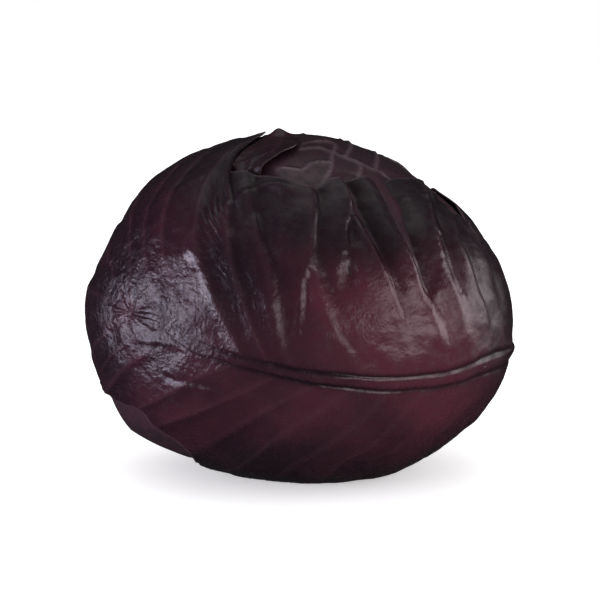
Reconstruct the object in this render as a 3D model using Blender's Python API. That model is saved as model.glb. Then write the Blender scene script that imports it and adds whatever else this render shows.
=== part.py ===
"""A head of red cabbage lying on its side, built from its separate leaves.

The head's stem end points to the right and away from the viewer (+X, +Y) and its crown to the
left and towards the viewer. Each leaf is a thin blade lofted between its own side veins, and
every layer is measured outward from the head's centre, so that no two layers cross.

Places on the front are given as an eye in front of the head sees them, in millimetres across
and up from the head's centre. Places on the hidden sides are directions from the centre.
"""
import math

import bmesh
import bpy
import numpy as np
from mathutils import Matrix, Vector

MM = 0.001

# The head as a whole
CENTRE = np.array((0.0, 0.0, 0.0680))
OUTLINE_STEP = 20
OUTLINE_MM = (86.0, 80.5, 73.6, 71.4, 71.6, 72.2, 74.8, 79.6, 82.2,
              88.2, 88.0, 87.4, 76.6, 73.4, 74.0, 78.3, 83.3, 88.0)
FRONT_DEPTH = 0.0750
BACK_DEPTH = 0.0740
ROUNDNESS = 2.15

# The eye that the front places are given for
EYE_DISTANCE = 1.10
EYE_TILT = math.radians(11)
RIGHT = np.array((1.0, 0.0, 0.0))
UP = np.array((0.0, math.sin(EYE_TILT), math.cos(EYE_TILT)))
NEAR = np.array((0.0, -math.cos(EYE_TILT), math.sin(EYE_TILT)))

# Blades and the gaps between layers
BLADE = 0.0016
LAYER_GAP = 0.0007
COVER_REACH = 0.0125
NECK = (76, 45, -3)

# The front leaf: its midrib from the stem end to the crown
FRONT_RIB = ((85, 31, -11), (88, 18, -14), (87, -18), (77, -24), (65, -29), (49, -31.5),
             (32, -32.5), (16, -31), (0, -29), (-22, -24), (-43, -17), (-58, -7), (-71, -3))

# Side veins of the front leaf: their points after the midrib, the degrees that they run on
# round the head, and the depth in millimetres of the hollow between each and the next one
FRONT_VEINS_ABOVE = (
    (((85, 31, -11), (86, 27, 6), (80, 36, 22), (71, 41, 36), (62, 40, 48)), 0, 1.0),
    (((88, 20, -14), (88, 15, 6), (82, 18, 24), (72, 21, 40), (62, 20, 52)), 0, 1.2),
    (((87, -17), (87.5, -2), (84, 12), (77, 25)), 10, 1.2),
    (((82.5, -20), (81.5, -5), (78, 9), (75, 20), (69.5, 31)), 6, 2.0),
    (((77, -24), (76.5, -5), (72.5, 6), (68, 20), (64, 28.5), (62, 37)), 6, 2.6),
    (((71, -27), (68.5, -10), (62, 10), (57, 25), (53, 39), (50, 50)), 1, 3.6),
    (((61, -30), (57, -13.5), (52.5, 2), (46.5, 16), (38.5, 34), (27.5, 53)), 0, 4.2),
    (((48.5, -31), (43.5, -14.5), (39.5, 0), (32.5, 17.5), (22.5, 38), (19, 49), (15, 53.5)),
     0, 3.4),
    (((26.5, -32), (19.5, -19), (10.5, 1), (4, 17.5), (4, 32.5), (5, 44), (2, 50.5)), 0, 1.6),
    (((-2, -28.5), (-10, -9.5), (-13, 13.5), (-18, 27.5), (-21, 41), (-23.5, 55.5)), 0, 1.4),
    (((-12, -27), (-20, -10), (-25, 5), (-29, 20), (-30.5, 35), (-28.5, 43.5), (-30, 50),
      (-30.5, 58.5)), 0, 0.9),
    (((-22, -24), (-30, -10), (-35.5, 3), (-42, 20), (-43, 34), (-40, 48), (-32, 60),
      (-19, 69)), 6, 0.9),
    (((-43, -17), (-50, -2), (-54, 12), (-57, 26), (-55, 42), (-47, 55), (-40, 61)), 18, 0.9),
    (((-59, -7), (-62, 10), (-64, 24), (-63, 38), (-60, 45)), 26, 0.9),
)
FRONT_VEINS_TIP = (
    (((-71, -3), (-70, 11), (-70, 31), (-69, 38)), 28, 0.8),
    (((-71, -3), (-76, 10), (-79, 22)), 34, 0.8),
    (((-71, -3), (-79, 2), (-86, 6)), 32, 0.8),
    (((-71, -3), (-79, -10), (-85, -17)), 24, 0.8),
)
FRONT_VEINS_BELOW = (
    (((85, 31, -11), (79, 38, -28), (68, 41, -44), (54, 42, -56)), 0, 0.9),
    (((88, 14, -14), (84, 16, -32), (74, 20, -48), (60, 27, -60), (46, 35, -64)), 0, 0.9),
    (((82, -21), (80, -30.5), (73, -43), (66, -50), (58, 5, -62), (45, 22, -66), (34, 34, -66)),
     0, 0.9),
    (((76, -24.5), (72.5, -34), (63, -47), (52.5, -57.5), (38, 2, -70), (28, 18, -71),
      (20, 31, -69)), 0, 0.9),
    (((68, -28), (61, -38), (51.5, -47.5), (39, -59), (26, -66), (14, 10, -71), (4, 28, -70)),
     0, 0.9),
    (((55, -31), (48, -38), (40.5, -46), (27, -59), (12, -68), (-2, 6, -71), (-9, 22, -70)),
     0, 0.9),
    (((39, -33), (32.5, -39), (21.5, -50), (2, -63), (-7, -69), (-18, 2, -70), (-23, 14, -69)),
     0, 0.9),
    (((24, -32.5), (13, -39.5), (-10.5, -55), (-25, -66), (-36, -2, -66)), 0, 0.9),
    (((8, -30.5), (-6.5, -39), (-19, -46), (-32, -53.5), (-44, -59.5)), 3, 0.8),
    (((-8, -27.5), (-25, -36), (-39, -42), (-53.5, -47), (-61, -50)), 0, 0.8),
    (((-24, -23.5), (-41, -28.5), (-53.5, -35.5), (-62, -40), (-68, -43)), 0, 0.8),
    (((-43, -17), (-57.5, -18.5), (-68, -22.5), (-76, -30)), 3, 0.8),
    (((-58, -7), (-68, -14), (-77, -20), (-81, -26)), 12, 0.8),
)

# Tears that run into the front leaf from its upper margin: the place counted in side veins,
# where the tear starts along them, its width at the margin, and how far the crown side lifts
FRONT_TEARS = (
    (4.45, 0.88, 0.0022, 0.0012),
    (10.0, 0.80, 0.0022, 0.0018),
)

# The fold that runs up the front leaf from the gloss to the torn point
FOLD_SEEN = ((-44, 22), (-43, 28), (-38, 34), (-31, 39), (-25, 43), (-17, 48), (-12, 50), (-6, 47))
FOLD_HEIGHT = 0.0012
FOLD_WIDTH = 0.0035

# The torn flap on top, lofted from its covered edge to its free edge
FLAP_EDGES = (
    (((-28, 47), (-37, 57), (-34, 65)), 16),
    (((-24, 49), (-30, 56), (-27, 63), (-23, 67)), 15),
    (((-19, 50), (-22, 57), (-16, 63), (-11, 68.5)), 13),
    (((-14, 49), (-17, 55.5), (-9.5, 61), (-2, 65.2), (-0.5, 69)), 8),
)
FLAP_LIFT = 0.0020
NUB_SEEN = (-9, 70)
NUB_HEIGHT = 0.0030
NUB_WIDTH = 0.0035

# The back leaf: its midrib over the hidden side, and its side veins worked out by rule
BACK_RIB = ((72, 56, 2), (60, 68, 8), (30, 84, 8), (0, 88, 6), (-30, 82, 3), (-58, 66, 0))
BACK_VEIN_COUNT = 10
BACK_SWEEP = 0.55
BACK_REACH_ABOVE = math.radians(68)
BACK_REACH_BELOW = math.radians(104)
BACK_WAVE = math.radians(1.5)
BACK_HOLLOW_MM = 1.7
BACK_TIP_VEINS = 4
BACK_TIP_REACH = math.radians(58)

# The leaf under them, whose raised net of veins shows on top
NET_CENTRE = (14, 66)
NET_LINES = (
    ((4, 69), (14, 68), (13, 63), (12.5, 57), (8, 50)),
    ((-1, 66), (7, 66.5), (13.5, 64.5), (19, 62.5), (25, 59.5), (24, 52)),
    ((0, 67.5), (2.5, 69), (12, 69)),
    ((25, 60), (31, 57), (37, 55), (44, 49)),
    ((19, 63), (21, 67), (20, 71)),
    ((31, 57), (32, 62), (31, 66)),
    ((-8, 58), (0, 57), (5, 60), (13, 60.5)),
)
NET_HEIGHT = 0.0009
NET_WIDTH = 0.0013
INNER_DEPTH = 0.0032
INNER_SLOPE = 0.42

# The cut stem
STEM_RADIUS = 0.0130
STEM_END = 0.0900
STEM_SEAT = 0.0785
STEM_SCARS = 5
STEM_SCAR_DEPTH = 0.0016
STEM_FLARE = 0.0015
STEM_SIDES = 36
STEM_RINGS = 3
SEAT_REACH = 0.0165
SEAT_SLOPE = 1.2

# Colours
LEAF_COLOUR = (0.045, 0.014, 0.026)
INNER_COLOUR = (0.070, 0.022, 0.040)
STEM_COLOUR = (0.48, 0.36, 0.38)

# How finely the blades are divided: columns between two side veins, and rows from the midrib
HOLLOW_COLUMNS = (0.0, 0.36, 0.66, 0.86)
PLAIN_COLUMNS = (0.0, 0.5)
RIB_ROWS = (0.0, 0.0020, 0.0046, 0.0090)
BLADE_ROWS = (0.13, 0.27, 0.41, 0.55, 0.68, 0.80, 0.91, 1.0)
BACK_RIB_ROWS = (0.0, 0.0030, 0.0075)
BACK_BLADE_ROWS = (0.11, 0.22, 0.33, 0.44, 0.56, 0.67, 0.78, 0.89, 1.0)


def unit(vectors):
    """Vectors scaled to length one."""
    vectors = np.asarray(vectors, dtype=float)
    return vectors / np.linalg.norm(vectors, axis=-1, keepdims=True)


def step_up(value, low, high):
    """A smooth step from 0 at low to 1 at high."""
    t = np.clip((np.asarray(value, dtype=float) - low) / (high - low), 0, 1)
    return t * t * (3 - 2 * t)


def outline(angle):
    """Radius of the head's outline at an angle, on a smooth closed curve."""
    radii = np.array(OUTLINE_MM) * MM
    place = np.degrees(angle) / OUTLINE_STEP
    low = np.floor(place).astype(int)
    t = place - low
    r0, r1, r2, r3 = (radii[(low + k) % len(radii)] for k in (-1, 0, 1, 2))
    return 0.5 * (2 * r1 + (r2 - r0) * t + (2 * r0 - 5 * r1 + 4 * r2 - r3) * t ** 2
                  + (3 * r1 - r0 - 3 * r2 + r3) * t ** 3)


def reach(directions):
    """Distance from the centre to the head's smooth outside along unit directions."""
    across, up, near = directions @ RIGHT, directions @ UP, directions @ NEAR
    radius = outline(np.arctan2(up, across))
    depth = np.where(near > 0, FRONT_DEPTH, BACK_DEPTH)
    total = (np.hypot(across, up) / radius) ** ROUNDNESS + (np.abs(near) / depth) ** ROUNDNESS
    return total ** (-1 / ROUNDNESS)


def seen(across_mm, up_mm):
    """Direction from the centre to the place that the eye sees at this point."""
    eye = NEAR * EYE_DISTANCE
    ray = unit(RIGHT * across_mm * MM + UP * up_mm * MM - eye)
    near_end, far_end = 0.5 * EYE_DISTANCE, -float(eye @ ray)
    for _ in range(40):
        middle = 0.5 * (near_end + far_end)
        point = eye + ray * middle
        if np.linalg.norm(point) < reach(unit(point)):
            far_end = middle
        else:
            near_end = middle
    return unit(eye + ray * far_end)


def toward(right_mm, away_mm, up_mm):
    """Direction from the centre to a place to the right, away from the viewer and up."""
    return unit((right_mm, away_mm, up_mm))


def smooth_path(directions, onward_degrees=0, per_span=8):
    """A smooth path over the head through directions, led on round it at its end."""
    points = [unit(d) for d in directions]
    if onward_degrees:
        axis = unit(np.cross(points[-2], points[-1]))
        last = points[-1]
        steps = max(1, round(onward_degrees / 8))
        for k in range(1, steps + 1):
            angle = math.radians(onward_degrees) * k / steps
            points.append(last * math.cos(angle) + np.cross(axis, last) * math.sin(angle))
    ends = [2 * points[0] - points[1]] + points + [2 * points[-1] - points[-2]]
    path = []
    for p0, p1, p2, p3 in zip(ends, ends[1:], ends[2:], ends[3:]):
        for k in range(per_span):
            t = k / per_span
            path.append(0.5 * (2 * p1 + (p2 - p0) * t + (2 * p0 - 5 * p1 + 4 * p2 - p3) * t ** 2
                               + (3 * p1 - p0 - 3 * p2 + p3) * t ** 3))
    path.append(points[-1])
    return unit(np.array(path))


def along(path, fractions):
    """Directions at fractions of a path's length."""
    spans = np.linalg.norm(np.diff(path, axis=0), axis=1)
    total = np.concatenate(([0.0], np.cumsum(spans)))
    wanted = np.asarray(fractions) * total[-1]
    return unit(np.stack([np.interp(wanted, total, path[:, k]) for k in range(3)], axis=-1))


def path_length(path):
    """Length of a path on the head's outside, in metres."""
    points = path * reach(path)[:, None]
    return float(np.linalg.norm(np.diff(points, axis=0), axis=1).sum())


def distance_to(path, directions):
    """Distance over the head from each direction to a path, in metres."""
    flat = directions.reshape(-1, 3)
    points = flat * reach(flat)[:, None]
    line = path * reach(path)[:, None]
    best = np.full(len(points), 1.0)
    for a, b in zip(line, line[1:]):
        span = b - a
        t = np.clip((points - a) @ span / max(span @ span, 1e-12), 0, 1)
        best = np.minimum(best, np.linalg.norm(points - a - t[:, None] * span, axis=1))
    return best.reshape(directions.shape[:-1])


def place_of(point):
    """Direction of a point given as seen from the front (two numbers) or toward (three)."""
    return seen(*point) if len(point) == 2 else toward(*point)


def settled(directions, radii, floor):
    """Points at radii along directions, pressed flat where they would pass below the floor."""
    drop = np.where(directions[..., 2] < -1e-6, -directions[..., 2], 1e-6)
    limit = (CENTRE[2] - floor) / drop
    pressed = radii > limit
    points = CENTRE + directions * np.minimum(radii, limit)[..., None]
    points[..., 2] = np.where(pressed, floor, points[..., 2])
    return points


def hollow_profile(place):
    """Depth between two side veins: falls slowly from one and climbs steeply to the next."""
    slow = (np.clip(place, 0, 0.82) / 0.82) ** 1.9
    steep = np.clip((1 - place) / 0.18, 0, 1)
    return np.where(place < 0.82, slow, steep * steep * (3 - 2 * steep))


class Blade:
    """A leaf's outer side as columns of directions and radii, lofted between side veins."""

    def __init__(self, rib, above, tip, below, tears, rib_rows, blade_rows):
        self.rib = rib
        self.tears = tears
        self.rib_rows = rib_rows
        self.blade_rows = blade_rows
        shares_above = self.rib_shares(above)
        shares_below = self.rib_shares(below)
        shared = self.shared_starts(shares_above, [v[2] for v in above],
                                    shares_below, [v[2] for v in below])
        last_above, last_below = [above[-1]] + list(tip), [tip[-1]] + [below[-1]]
        self.columns = []
        self.add_side(above, shares_above, shared, tears)
        self.add_fan(last_above, len(above) - 1)
        self.add_fan(last_below, len(above) + len(tip) - 1)
        self.add_side(below[::-1], shares_below[::-1], shared[::-1], ())
        self.directions = np.array([c["directions"] for c in self.columns])
        self.rows = np.array([c["rows"] for c in self.columns])
        self.part = np.array([c["part"] for c in self.columns])
        self.depth = np.array([c["depth"] for c in self.columns])
        self.relief = np.zeros(self.rows.shape)

    def rib_shares(self, veins):
        """How far along the midrib each side vein starts, from 0 to 1."""
        lengths = np.linspace(0, 1, 400)
        points = along(self.rib, lengths)
        shares = [lengths[int(np.argmax(points @ v[0][0]))] for v in veins]
        return np.maximum.accumulate(shares)

    @staticmethod
    def shared_starts(above, depths_above, below, depths_below):
        """Midrib places where columns of both sides start."""
        places = []
        for shares, depths in ((above, depths_above), (below, depths_below)):
            for a, b, depth in zip(shares, shares[1:], depths):
                steps = HOLLOW_COLUMNS if depth > 1.3 else PLAIN_COLUMNS
                places += [(a + (b - a) * s, s == 0.0) for s in steps]
            places.append((shares[-1], True))
        places.sort()
        kept = []
        for place, on_vein in places:
            if kept and place - kept[-1][0] < 0.008:
                if on_vein and not kept[-1][1]:
                    kept[-1] = (place, True)
                continue
            kept.append((place, on_vein))
        return np.array([p for p, _ in kept])

    def add_column(self, veins, low, part, start=None, side=0, counted=0.0):
        """Adds the column that lies a part of the way from one side vein to the next."""
        first, second = veins[low], veins[min(low + 1, len(veins) - 1)]
        length = path_length(first[0]) * (1 - part) + path_length(second[0]) * part
        near = np.array(self.rib_rows) / length
        rest = near[-1] + (1 - near[-1]) * np.array(self.blade_rows)
        rows = np.concatenate((near, rest))
        line = unit(along(first[0], rows) * (1 - part) + along(second[0], rows) * part)
        if start is not None:
            line = unit(line + (start - line[0]) * (1 - rows[:, None]) ** 2)
        self.columns.append({"directions": line, "rows": rows, "part": part, "side": side,
                             "depth": first[2], "counted": counted})

    def add_side(self, veins, shares, starts, tears):
        """Adds the columns of one side of the midrib, in the order of the given starts."""
        places = [float(np.interp(s, shares, range(len(shares)))) if shares[-1] >= shares[0]
                  else float(np.interp(-s, -shares, range(len(shares)))) for s in starts]
        wanted = [(p, s, 0) for p, s in zip(places, starts)]
        for tear in tears:
            share = float(np.interp(tear[0], range(len(shares)), shares))
            wanted = [w for w in wanted if abs(w[0] - tear[0]) > 0.12]
            wanted += [(tear[0] - 1e-6, share, -1), (tear[0] + 1e-6, share, 1)]
        for place, share, side in sorted(wanted, key=lambda w: w[0]):
            low = min(int(place), len(veins) - 2)
            start = along(self.rib, [share])[0]
            self.add_column(veins, low, place - low, start, side, place)

    def add_fan(self, veins, counted):
        """Adds the columns that spread from the midrib's end."""
        for low in range(len(veins) - 1):
            for part in (0.0, 0.5):
                if low or part:
                    self.add_column(veins, low, part, self.rib[-1], 0, counted + low + part)
        self.add_column(veins, len(veins) - 2, 1.0, self.rib[-1], 0, counted + len(veins) - 1)

    def open_tears(self):
        """Parts the two sides of each tear and lifts the crown side over the other."""
        sides = np.array([c["side"] for c in self.columns])
        counted = np.array([c["counted"] for c in self.columns])
        for place, start, width, lift in self.tears:
            opening = step_up(self.rows, start, 1.0)
            for side in (-1, 1):
                column = np.flatnonzero((sides == side) & (np.abs(counted - place) < 0.01))[0]
                away = self.directions[column + side] - self.directions[column]
                away /= np.maximum(np.linalg.norm(away, axis=1, keepdims=True), 1e-6)
                shift = 0.5 * width / 0.075 * opening[column]
                moved = self.directions[column] + away * shift[:, None]
                self.directions[column] = unit(moved)
            after = np.clip(1 - (counted - place) / 1.2, 0, 1) * (counted > place)
            self.relief += lift * opening * after[:, None]

    def add_hollows(self):
        """Sinks the blade between its side veins, more towards the margin."""
        growth = step_up(self.rows, 0.05, 0.75)
        profile = hollow_profile(self.part)[:, None]
        self.relief -= self.depth[:, None] * MM * profile * growth

    def add_midrib(self, width, height, groove):
        """Raises the midrib between two grooves; it is broadest at the stem end."""
        gap = distance_to(self.rib, self.directions)
        nearest = np.argmax(self.directions @ self.rib.T, axis=-1) / (len(self.rib) - 1)
        wide = width * (1 - 0.65 * nearest)
        self.relief += height * (1 - 0.7 * nearest) * np.exp(-(gap / wide) ** 2)
        self.relief -= groove * np.exp(-((gap - 2.0 * wide) / (0.8 * wide)) ** 2)

    def add_ridge(self, path, height, width):
        """Raises a fold along a path."""
        gap = distance_to(path, self.directions)
        self.relief += height * np.exp(-(gap / width) ** 2)

    def radii(self):
        """Distance from the centre to the outer surface."""
        return reach(self.directions) + self.relief


def cover(directions, blades, gap, slope):
    """The greatest radius that stays under the given blades, and eases up beyond them."""
    flat = directions.reshape(-1, 3)
    limit = np.full(len(flat), 1.0)
    for blade in blades:
        over = blade.directions.reshape(-1, 3)
        under = (blade.radii() - BLADE).reshape(-1)
        apart = np.arccos(np.clip(flat @ over.T, -1, 1)) * 0.075
        allowed = under[None, :] - gap + slope * np.maximum(0, apart - COVER_REACH)
        limit = np.minimum(limit, allowed.min(axis=1))
    return limit.reshape(directions.shape[:-1])


def closed_blade(name, blade, floor, material, collection):
    """Makes a leaf from its outer side: the columns joined, then closed with an inner side."""
    radii = blade.radii()
    columns, rows = radii.shape
    outer = settled(blade.directions, radii, floor)
    inner = settled(blade.directions, radii - BLADE, floor + BLADE)
    work = bmesh.new()
    number = work.verts.layers.int.new("number")
    grid = [[work.verts.new(outer[c, r]) for r in range(rows)] for c in range(columns)]
    for c in range(columns):
        for r in range(rows):
            grid[c][r][number] = c * rows + r
    for c in range(columns - 1):
        if blade.columns[c]["side"] == -1:
            continue
        for r in range(rows - 1):
            work.faces.new((grid[c][r], grid[c + 1][r], grid[c + 1][r + 1], grid[c][r + 1]))
    bmesh.ops.remove_doubles(work, verts=work.verts[:], dist=0.00003)
    inner = inner.reshape(-1, 3)
    made = bmesh.ops.extrude_face_region(work, geom=work.faces[:], use_keep_orig=True)
    for vert in (g for g in made["geom"] if isinstance(g, bmesh.types.BMVert)):
        vert.co = inner[vert[number]]
    bmesh.ops.triangulate(work, faces=work.faces[:])
    bmesh.ops.recalc_face_normals(work, faces=work.faces[:])
    if work.calc_volume(signed=True) < 0:
        bmesh.ops.reverse_faces(work, faces=work.faces[:])
    return finish_object(name, work, material, collection)


def finish_object(name, work, material, collection):
    """Turns edited geometry into a named, shaded object."""
    mesh = bpy.data.meshes.new(name)
    work.to_mesh(mesh)
    work.free()
    mesh.materials.append(material)
    thing = bpy.data.objects.new(name, mesh)
    collection.objects.link(thing)
    mesh.shade_smooth()
    mesh.set_sharp_from_angle(angle=math.radians(40))
    return thing


def coloured(name, colour, roughness):
    """A plain surface colour."""
    material = bpy.data.materials.new(name)
    material.use_nodes = True
    surface = material.node_tree.nodes["Principled BSDF"]
    surface.inputs["Base Color"].default_value = (*colour, 1.0)
    surface.inputs["Roughness"].default_value = roughness
    surface.inputs["Metallic"].default_value = 0.0
    return material


def veins_from(listed):
    """Side veins as smooth paths, with the depth of the hollow after each."""
    return [(smooth_path([place_of(p) for p in points], onward), onward, depth)
            for points, onward, depth in listed]


def front_blade():
    """The outermost leaf, over the front of the head and round its crown."""
    rib = smooth_path([place_of(p) for p in FRONT_RIB])
    blade = Blade(rib, veins_from(FRONT_VEINS_ABOVE), veins_from(FRONT_VEINS_TIP),
                  veins_from(FRONT_VEINS_BELOW), FRONT_TEARS, RIB_ROWS, BLADE_ROWS)
    blade.add_hollows()
    blade.add_midrib(0.0042, 0.0018, 0.0009)
    blade.add_ridge(smooth_path([place_of(p) for p in FOLD_SEEN]), FOLD_HEIGHT, FOLD_WIDTH)
    blade.open_tears()
    return blade


def back_veins(rib, reach_angle, turn):
    """Side veins of the back leaf on one side: they sweep towards the crown, unevenly long."""
    veins = []
    for k in range(BACK_VEIN_COUNT):
        share = 0.02 + 0.93 * k / (BACK_VEIN_COUNT - 1)
        start = along(rib, [share])[0]
        ahead = unit(along(rib, [min(share + 0.02, 1.0)])[0] - along(rib, [share - 0.02])[0])
        side = unit(np.cross(start, ahead)) * turn
        lean = BACK_SWEEP * (0.35 + 0.65 * share)
        heading = unit(side + ahead * lean)
        far = reach_angle * (0.72 + 0.28 * math.sin(math.pi * min(1.0, share + 0.18)))
        far += BACK_WAVE * math.sin(2.4 * k + turn)
        points = [start * math.cos(far * t) + heading * math.sin(far * t)
                  for t in (0.0, 0.25, 0.5, 0.75, 1.0)]
        veins.append((smooth_path(points), 0, BACK_HOLLOW_MM * (0.7 + 0.3 * math.sin(1.7 * k))))
    return veins


def back_blade(covering):
    """The leaf over the hidden side, whose lower edge comes out under the front leaf."""
    rib = smooth_path([toward(*p) for p in BACK_RIB])
    above = back_veins(rib, BACK_REACH_ABOVE, 1)
    below = back_veins(rib, BACK_REACH_BELOW, -1)
    ahead = unit(rib[-1] - rib[-2])
    side = unit(np.cross(rib[-1], ahead))
    tip = []
    for k in range(BACK_TIP_VEINS):
        angle = math.radians(52 - 104 * k / (BACK_TIP_VEINS - 1))
        heading = ahead * math.cos(angle) + side * math.sin(angle)
        points = [rib[-1] * math.cos(BACK_TIP_REACH * t) + heading * math.sin(BACK_TIP_REACH * t)
                  for t in (0.0, 0.5, 1.0)]
        tip.append((smooth_path(points), 0, 0.8))
    blade = Blade(rib, above, tip, below, (), BACK_RIB_ROWS, BACK_BLADE_ROWS)
    blade.add_hollows()
    blade.add_midrib(0.0040, 0.0016, 0.0007)
    limit = cover(blade.directions, covering, LAYER_GAP, INNER_SLOPE)
    blade.relief = np.minimum(blade.relief, limit - reach(blade.directions))
    return blade


class Flap(Blade):
    """A torn scrap of leaf, lofted between its covered edge and its free edge."""

    def __init__(self, edges, rows):
        edges = veins_from([(points, onward, 0.0) for points, onward in edges])
        self.columns, self.rib_rows, self.blade_rows = [], (0.0, 0.0), rows
        for low in range(len(edges) - 1):
            for part in (0.0, 0.34, 0.67):
                self.add_column(edges, low, part)
        self.add_column(edges, len(edges) - 2, 1.0)
        for column in self.columns:
            column["directions"] = column["directions"][1:]
            column["rows"] = column["rows"][1:]
        self.directions = np.array([c["directions"] for c in self.columns])
        self.rows = np.array([c["rows"] for c in self.columns])
        self.relief = np.full(self.rows.shape, -0.0008)


def flap_blade(front):
    """The torn flap on top, with the nub of a broken rib standing on it."""
    blade = Flap(FLAP_EDGES, (0.1, 0.2, 0.3, 0.4, 0.5, 0.6, 0.7, 0.8, 0.9, 1.0))
    free = np.linspace(0, 1, len(blade.columns))[:, None] ** 3
    blade.relief += FLAP_LIFT * free * np.sin(math.pi * blade.rows)
    spread = distance_to(np.array([seen(*NUB_SEEN)] * 2), blade.directions)
    blade.relief += NUB_HEIGHT * np.exp(-(spread / NUB_WIDTH) ** 2)
    limit = cover(blade.directions, (front,), LAYER_GAP, 0.9)
    blade.relief = np.minimum(blade.relief, limit - reach(blade.directions))
    return blade


def inner_head(blades, material, collection):
    """The packed leaves inside, with the raised net of veins where the uppermost one shows."""
    work = bmesh.new()
    bmesh.ops.create_icosphere(work, subdivisions=4, radius=1.0)
    neck = unit(NECK)
    refine(work, seen(*NET_CENTRE), 0.66)
    refine(work, seen(*NET_CENTRE), 0.50)
    refine(work, neck, 0.30)
    directions = unit(np.array([v.co[:] for v in work.verts]))
    plain = reach(directions) - INNER_DEPTH
    radii = plain.copy()
    for line in NET_LINES:
        gap = distance_to(smooth_path([seen(*p) for p in line], 0, 4), directions)
        radii = np.maximum(radii, plain + NET_HEIGHT * np.exp(-(gap / NET_WIDTH) ** 2))
    radii = np.minimum(radii, cover(directions, blades, LAYER_GAP, INNER_SLOPE))
    aside = np.arccos(np.clip(directions @ neck, -1, 1))
    seat = (STEM_SEAT - LAYER_GAP) / np.cos(np.minimum(aside, 0.5))
    seat += SEAT_SLOPE * np.maximum(0, aside * STEM_SEAT - SEAT_REACH)
    radii = np.minimum(radii, seat)
    points = settled(directions, radii, 2 * (BLADE + LAYER_GAP))
    for vert, point in zip(work.verts, points):
        vert.co = point
    return finish_object("inner_head", work, material, collection)


def refine(work, centre, spread):
    """Halves the edges of a ball's faces within an angle of a direction."""
    close = math.cos(spread)
    edges = [e for e in work.edges if all(np.dot(v.co, centre) > close * v.co.length
                                          for v in e.verts)]
    bmesh.ops.subdivide_edges(work, edges=edges, cuts=1, use_grid_fill=True)
    bmesh.ops.triangulate(work, faces=work.faces[:])
    for vert in work.verts:
        vert.co.normalize()


def stem_stump(material, collection):
    """The cut stem, with the scars of trimmed leaf bases stepping down its side."""
    work = bmesh.new()
    length = STEM_END - STEM_SEAT
    bmesh.ops.create_cone(work, segments=STEM_SIDES, radius1=STEM_RADIUS, radius2=STEM_RADIUS,
                          depth=length, cap_ends=True)
    upright = [e for e in work.edges if abs(e.verts[0].co.z - e.verts[1].co.z) > length / 2]
    bmesh.ops.subdivide_edges(work, edges=upright, cuts=STEM_RINGS)
    for vert in work.verts:
        height = vert.co.z / length + 0.5
        turn = math.atan2(vert.co.y, vert.co.x) / math.tau * STEM_SCARS
        step = (turn + 1.7 * height) % 1.0
        cut = STEM_SCAR_DEPTH * step * min(1.0, 4 * height)
        flare = STEM_FLARE * (1 - height) ** 2
        grown = (STEM_RADIUS - cut + flare) / STEM_RADIUS
        vert.co.x *= grown
        vert.co.y *= grown
    neck = Vector(unit(NECK))
    turn = neck.to_track_quat("Z", "Y").to_matrix().to_4x4()
    place = Vector(CENTRE) + neck * (STEM_SEAT + length / 2)
    bmesh.ops.transform(work, matrix=Matrix.Translation(place) @ turn, verts=work.verts[:])
    bmesh.ops.triangulate(work, faces=work.faces[:])
    return finish_object("stem_stump", work, material, collection)


def build():
    """Clears the scene and makes the whole head."""
    for thing in list(bpy.data.objects):
        bpy.data.objects.remove(thing, do_unlink=True)
    parts = bpy.data.collections.new("red_cabbage_head")
    bpy.context.scene.collection.children.link(parts)
    leaf = coloured("leaf", LEAF_COLOUR, 0.35)
    inner = coloured("inner_leaf", INNER_COLOUR, 0.5)
    stem = coloured("cut_stem", STEM_COLOUR, 0.7)
    front = front_blade()
    flap = flap_blade(front)
    back = back_blade((front, flap))
    closed_blade("front_leaf", front, 0.0, leaf, parts)
    closed_blade("back_leaf", back, BLADE + LAYER_GAP, leaf, parts)
    closed_blade("torn_flap", flap, 0.0, inner, parts)
    inner_head((front, back, flap), inner, parts)
    stem_stump(stem, parts)


build()
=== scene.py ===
"""A red cabbage head lying on its side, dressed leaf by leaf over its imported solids."""
import logging
import math
from dataclasses import dataclass
from enum import Enum

import bmesh
import bpy
import numpy as np
from mathutils import Matrix, Vector, noise


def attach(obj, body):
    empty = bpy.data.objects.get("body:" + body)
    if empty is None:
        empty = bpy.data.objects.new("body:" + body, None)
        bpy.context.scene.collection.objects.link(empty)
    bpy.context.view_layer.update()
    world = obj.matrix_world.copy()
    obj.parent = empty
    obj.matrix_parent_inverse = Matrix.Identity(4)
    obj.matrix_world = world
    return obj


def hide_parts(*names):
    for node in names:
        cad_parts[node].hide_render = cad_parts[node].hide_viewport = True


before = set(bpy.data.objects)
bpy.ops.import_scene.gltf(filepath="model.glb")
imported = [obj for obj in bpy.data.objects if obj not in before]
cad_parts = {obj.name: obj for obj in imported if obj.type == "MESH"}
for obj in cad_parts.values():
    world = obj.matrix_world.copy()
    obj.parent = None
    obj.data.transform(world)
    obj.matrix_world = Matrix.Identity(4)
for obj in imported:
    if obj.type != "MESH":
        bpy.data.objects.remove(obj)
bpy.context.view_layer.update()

MM = 0.001
HEAD_RADIUS = 0.075
BLADE_THICKNESS = 0.0012
BLADE_GAP = 0.0005
UNDER_SLOPE = 0.42
UNDER_SPREAD = 0.004
EDGE_THINNING = 0.45
WELD_DISTANCE = 0.00002
log = logging.getLogger("cabbage")

Array = np.ndarray
Point = tuple[float, ...]


class Slot(Enum):
    """The record's material slots."""

    LEAF = "leaf"
    INNER = "inner_leaf"
    STEM = "cut_stem"


def unit(vectors: Array) -> Array:
    """Vectors scaled to length one."""
    vectors = np.asarray(vectors, dtype=float)
    return vectors / np.linalg.norm(vectors, axis=-1, keepdims=True)


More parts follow.
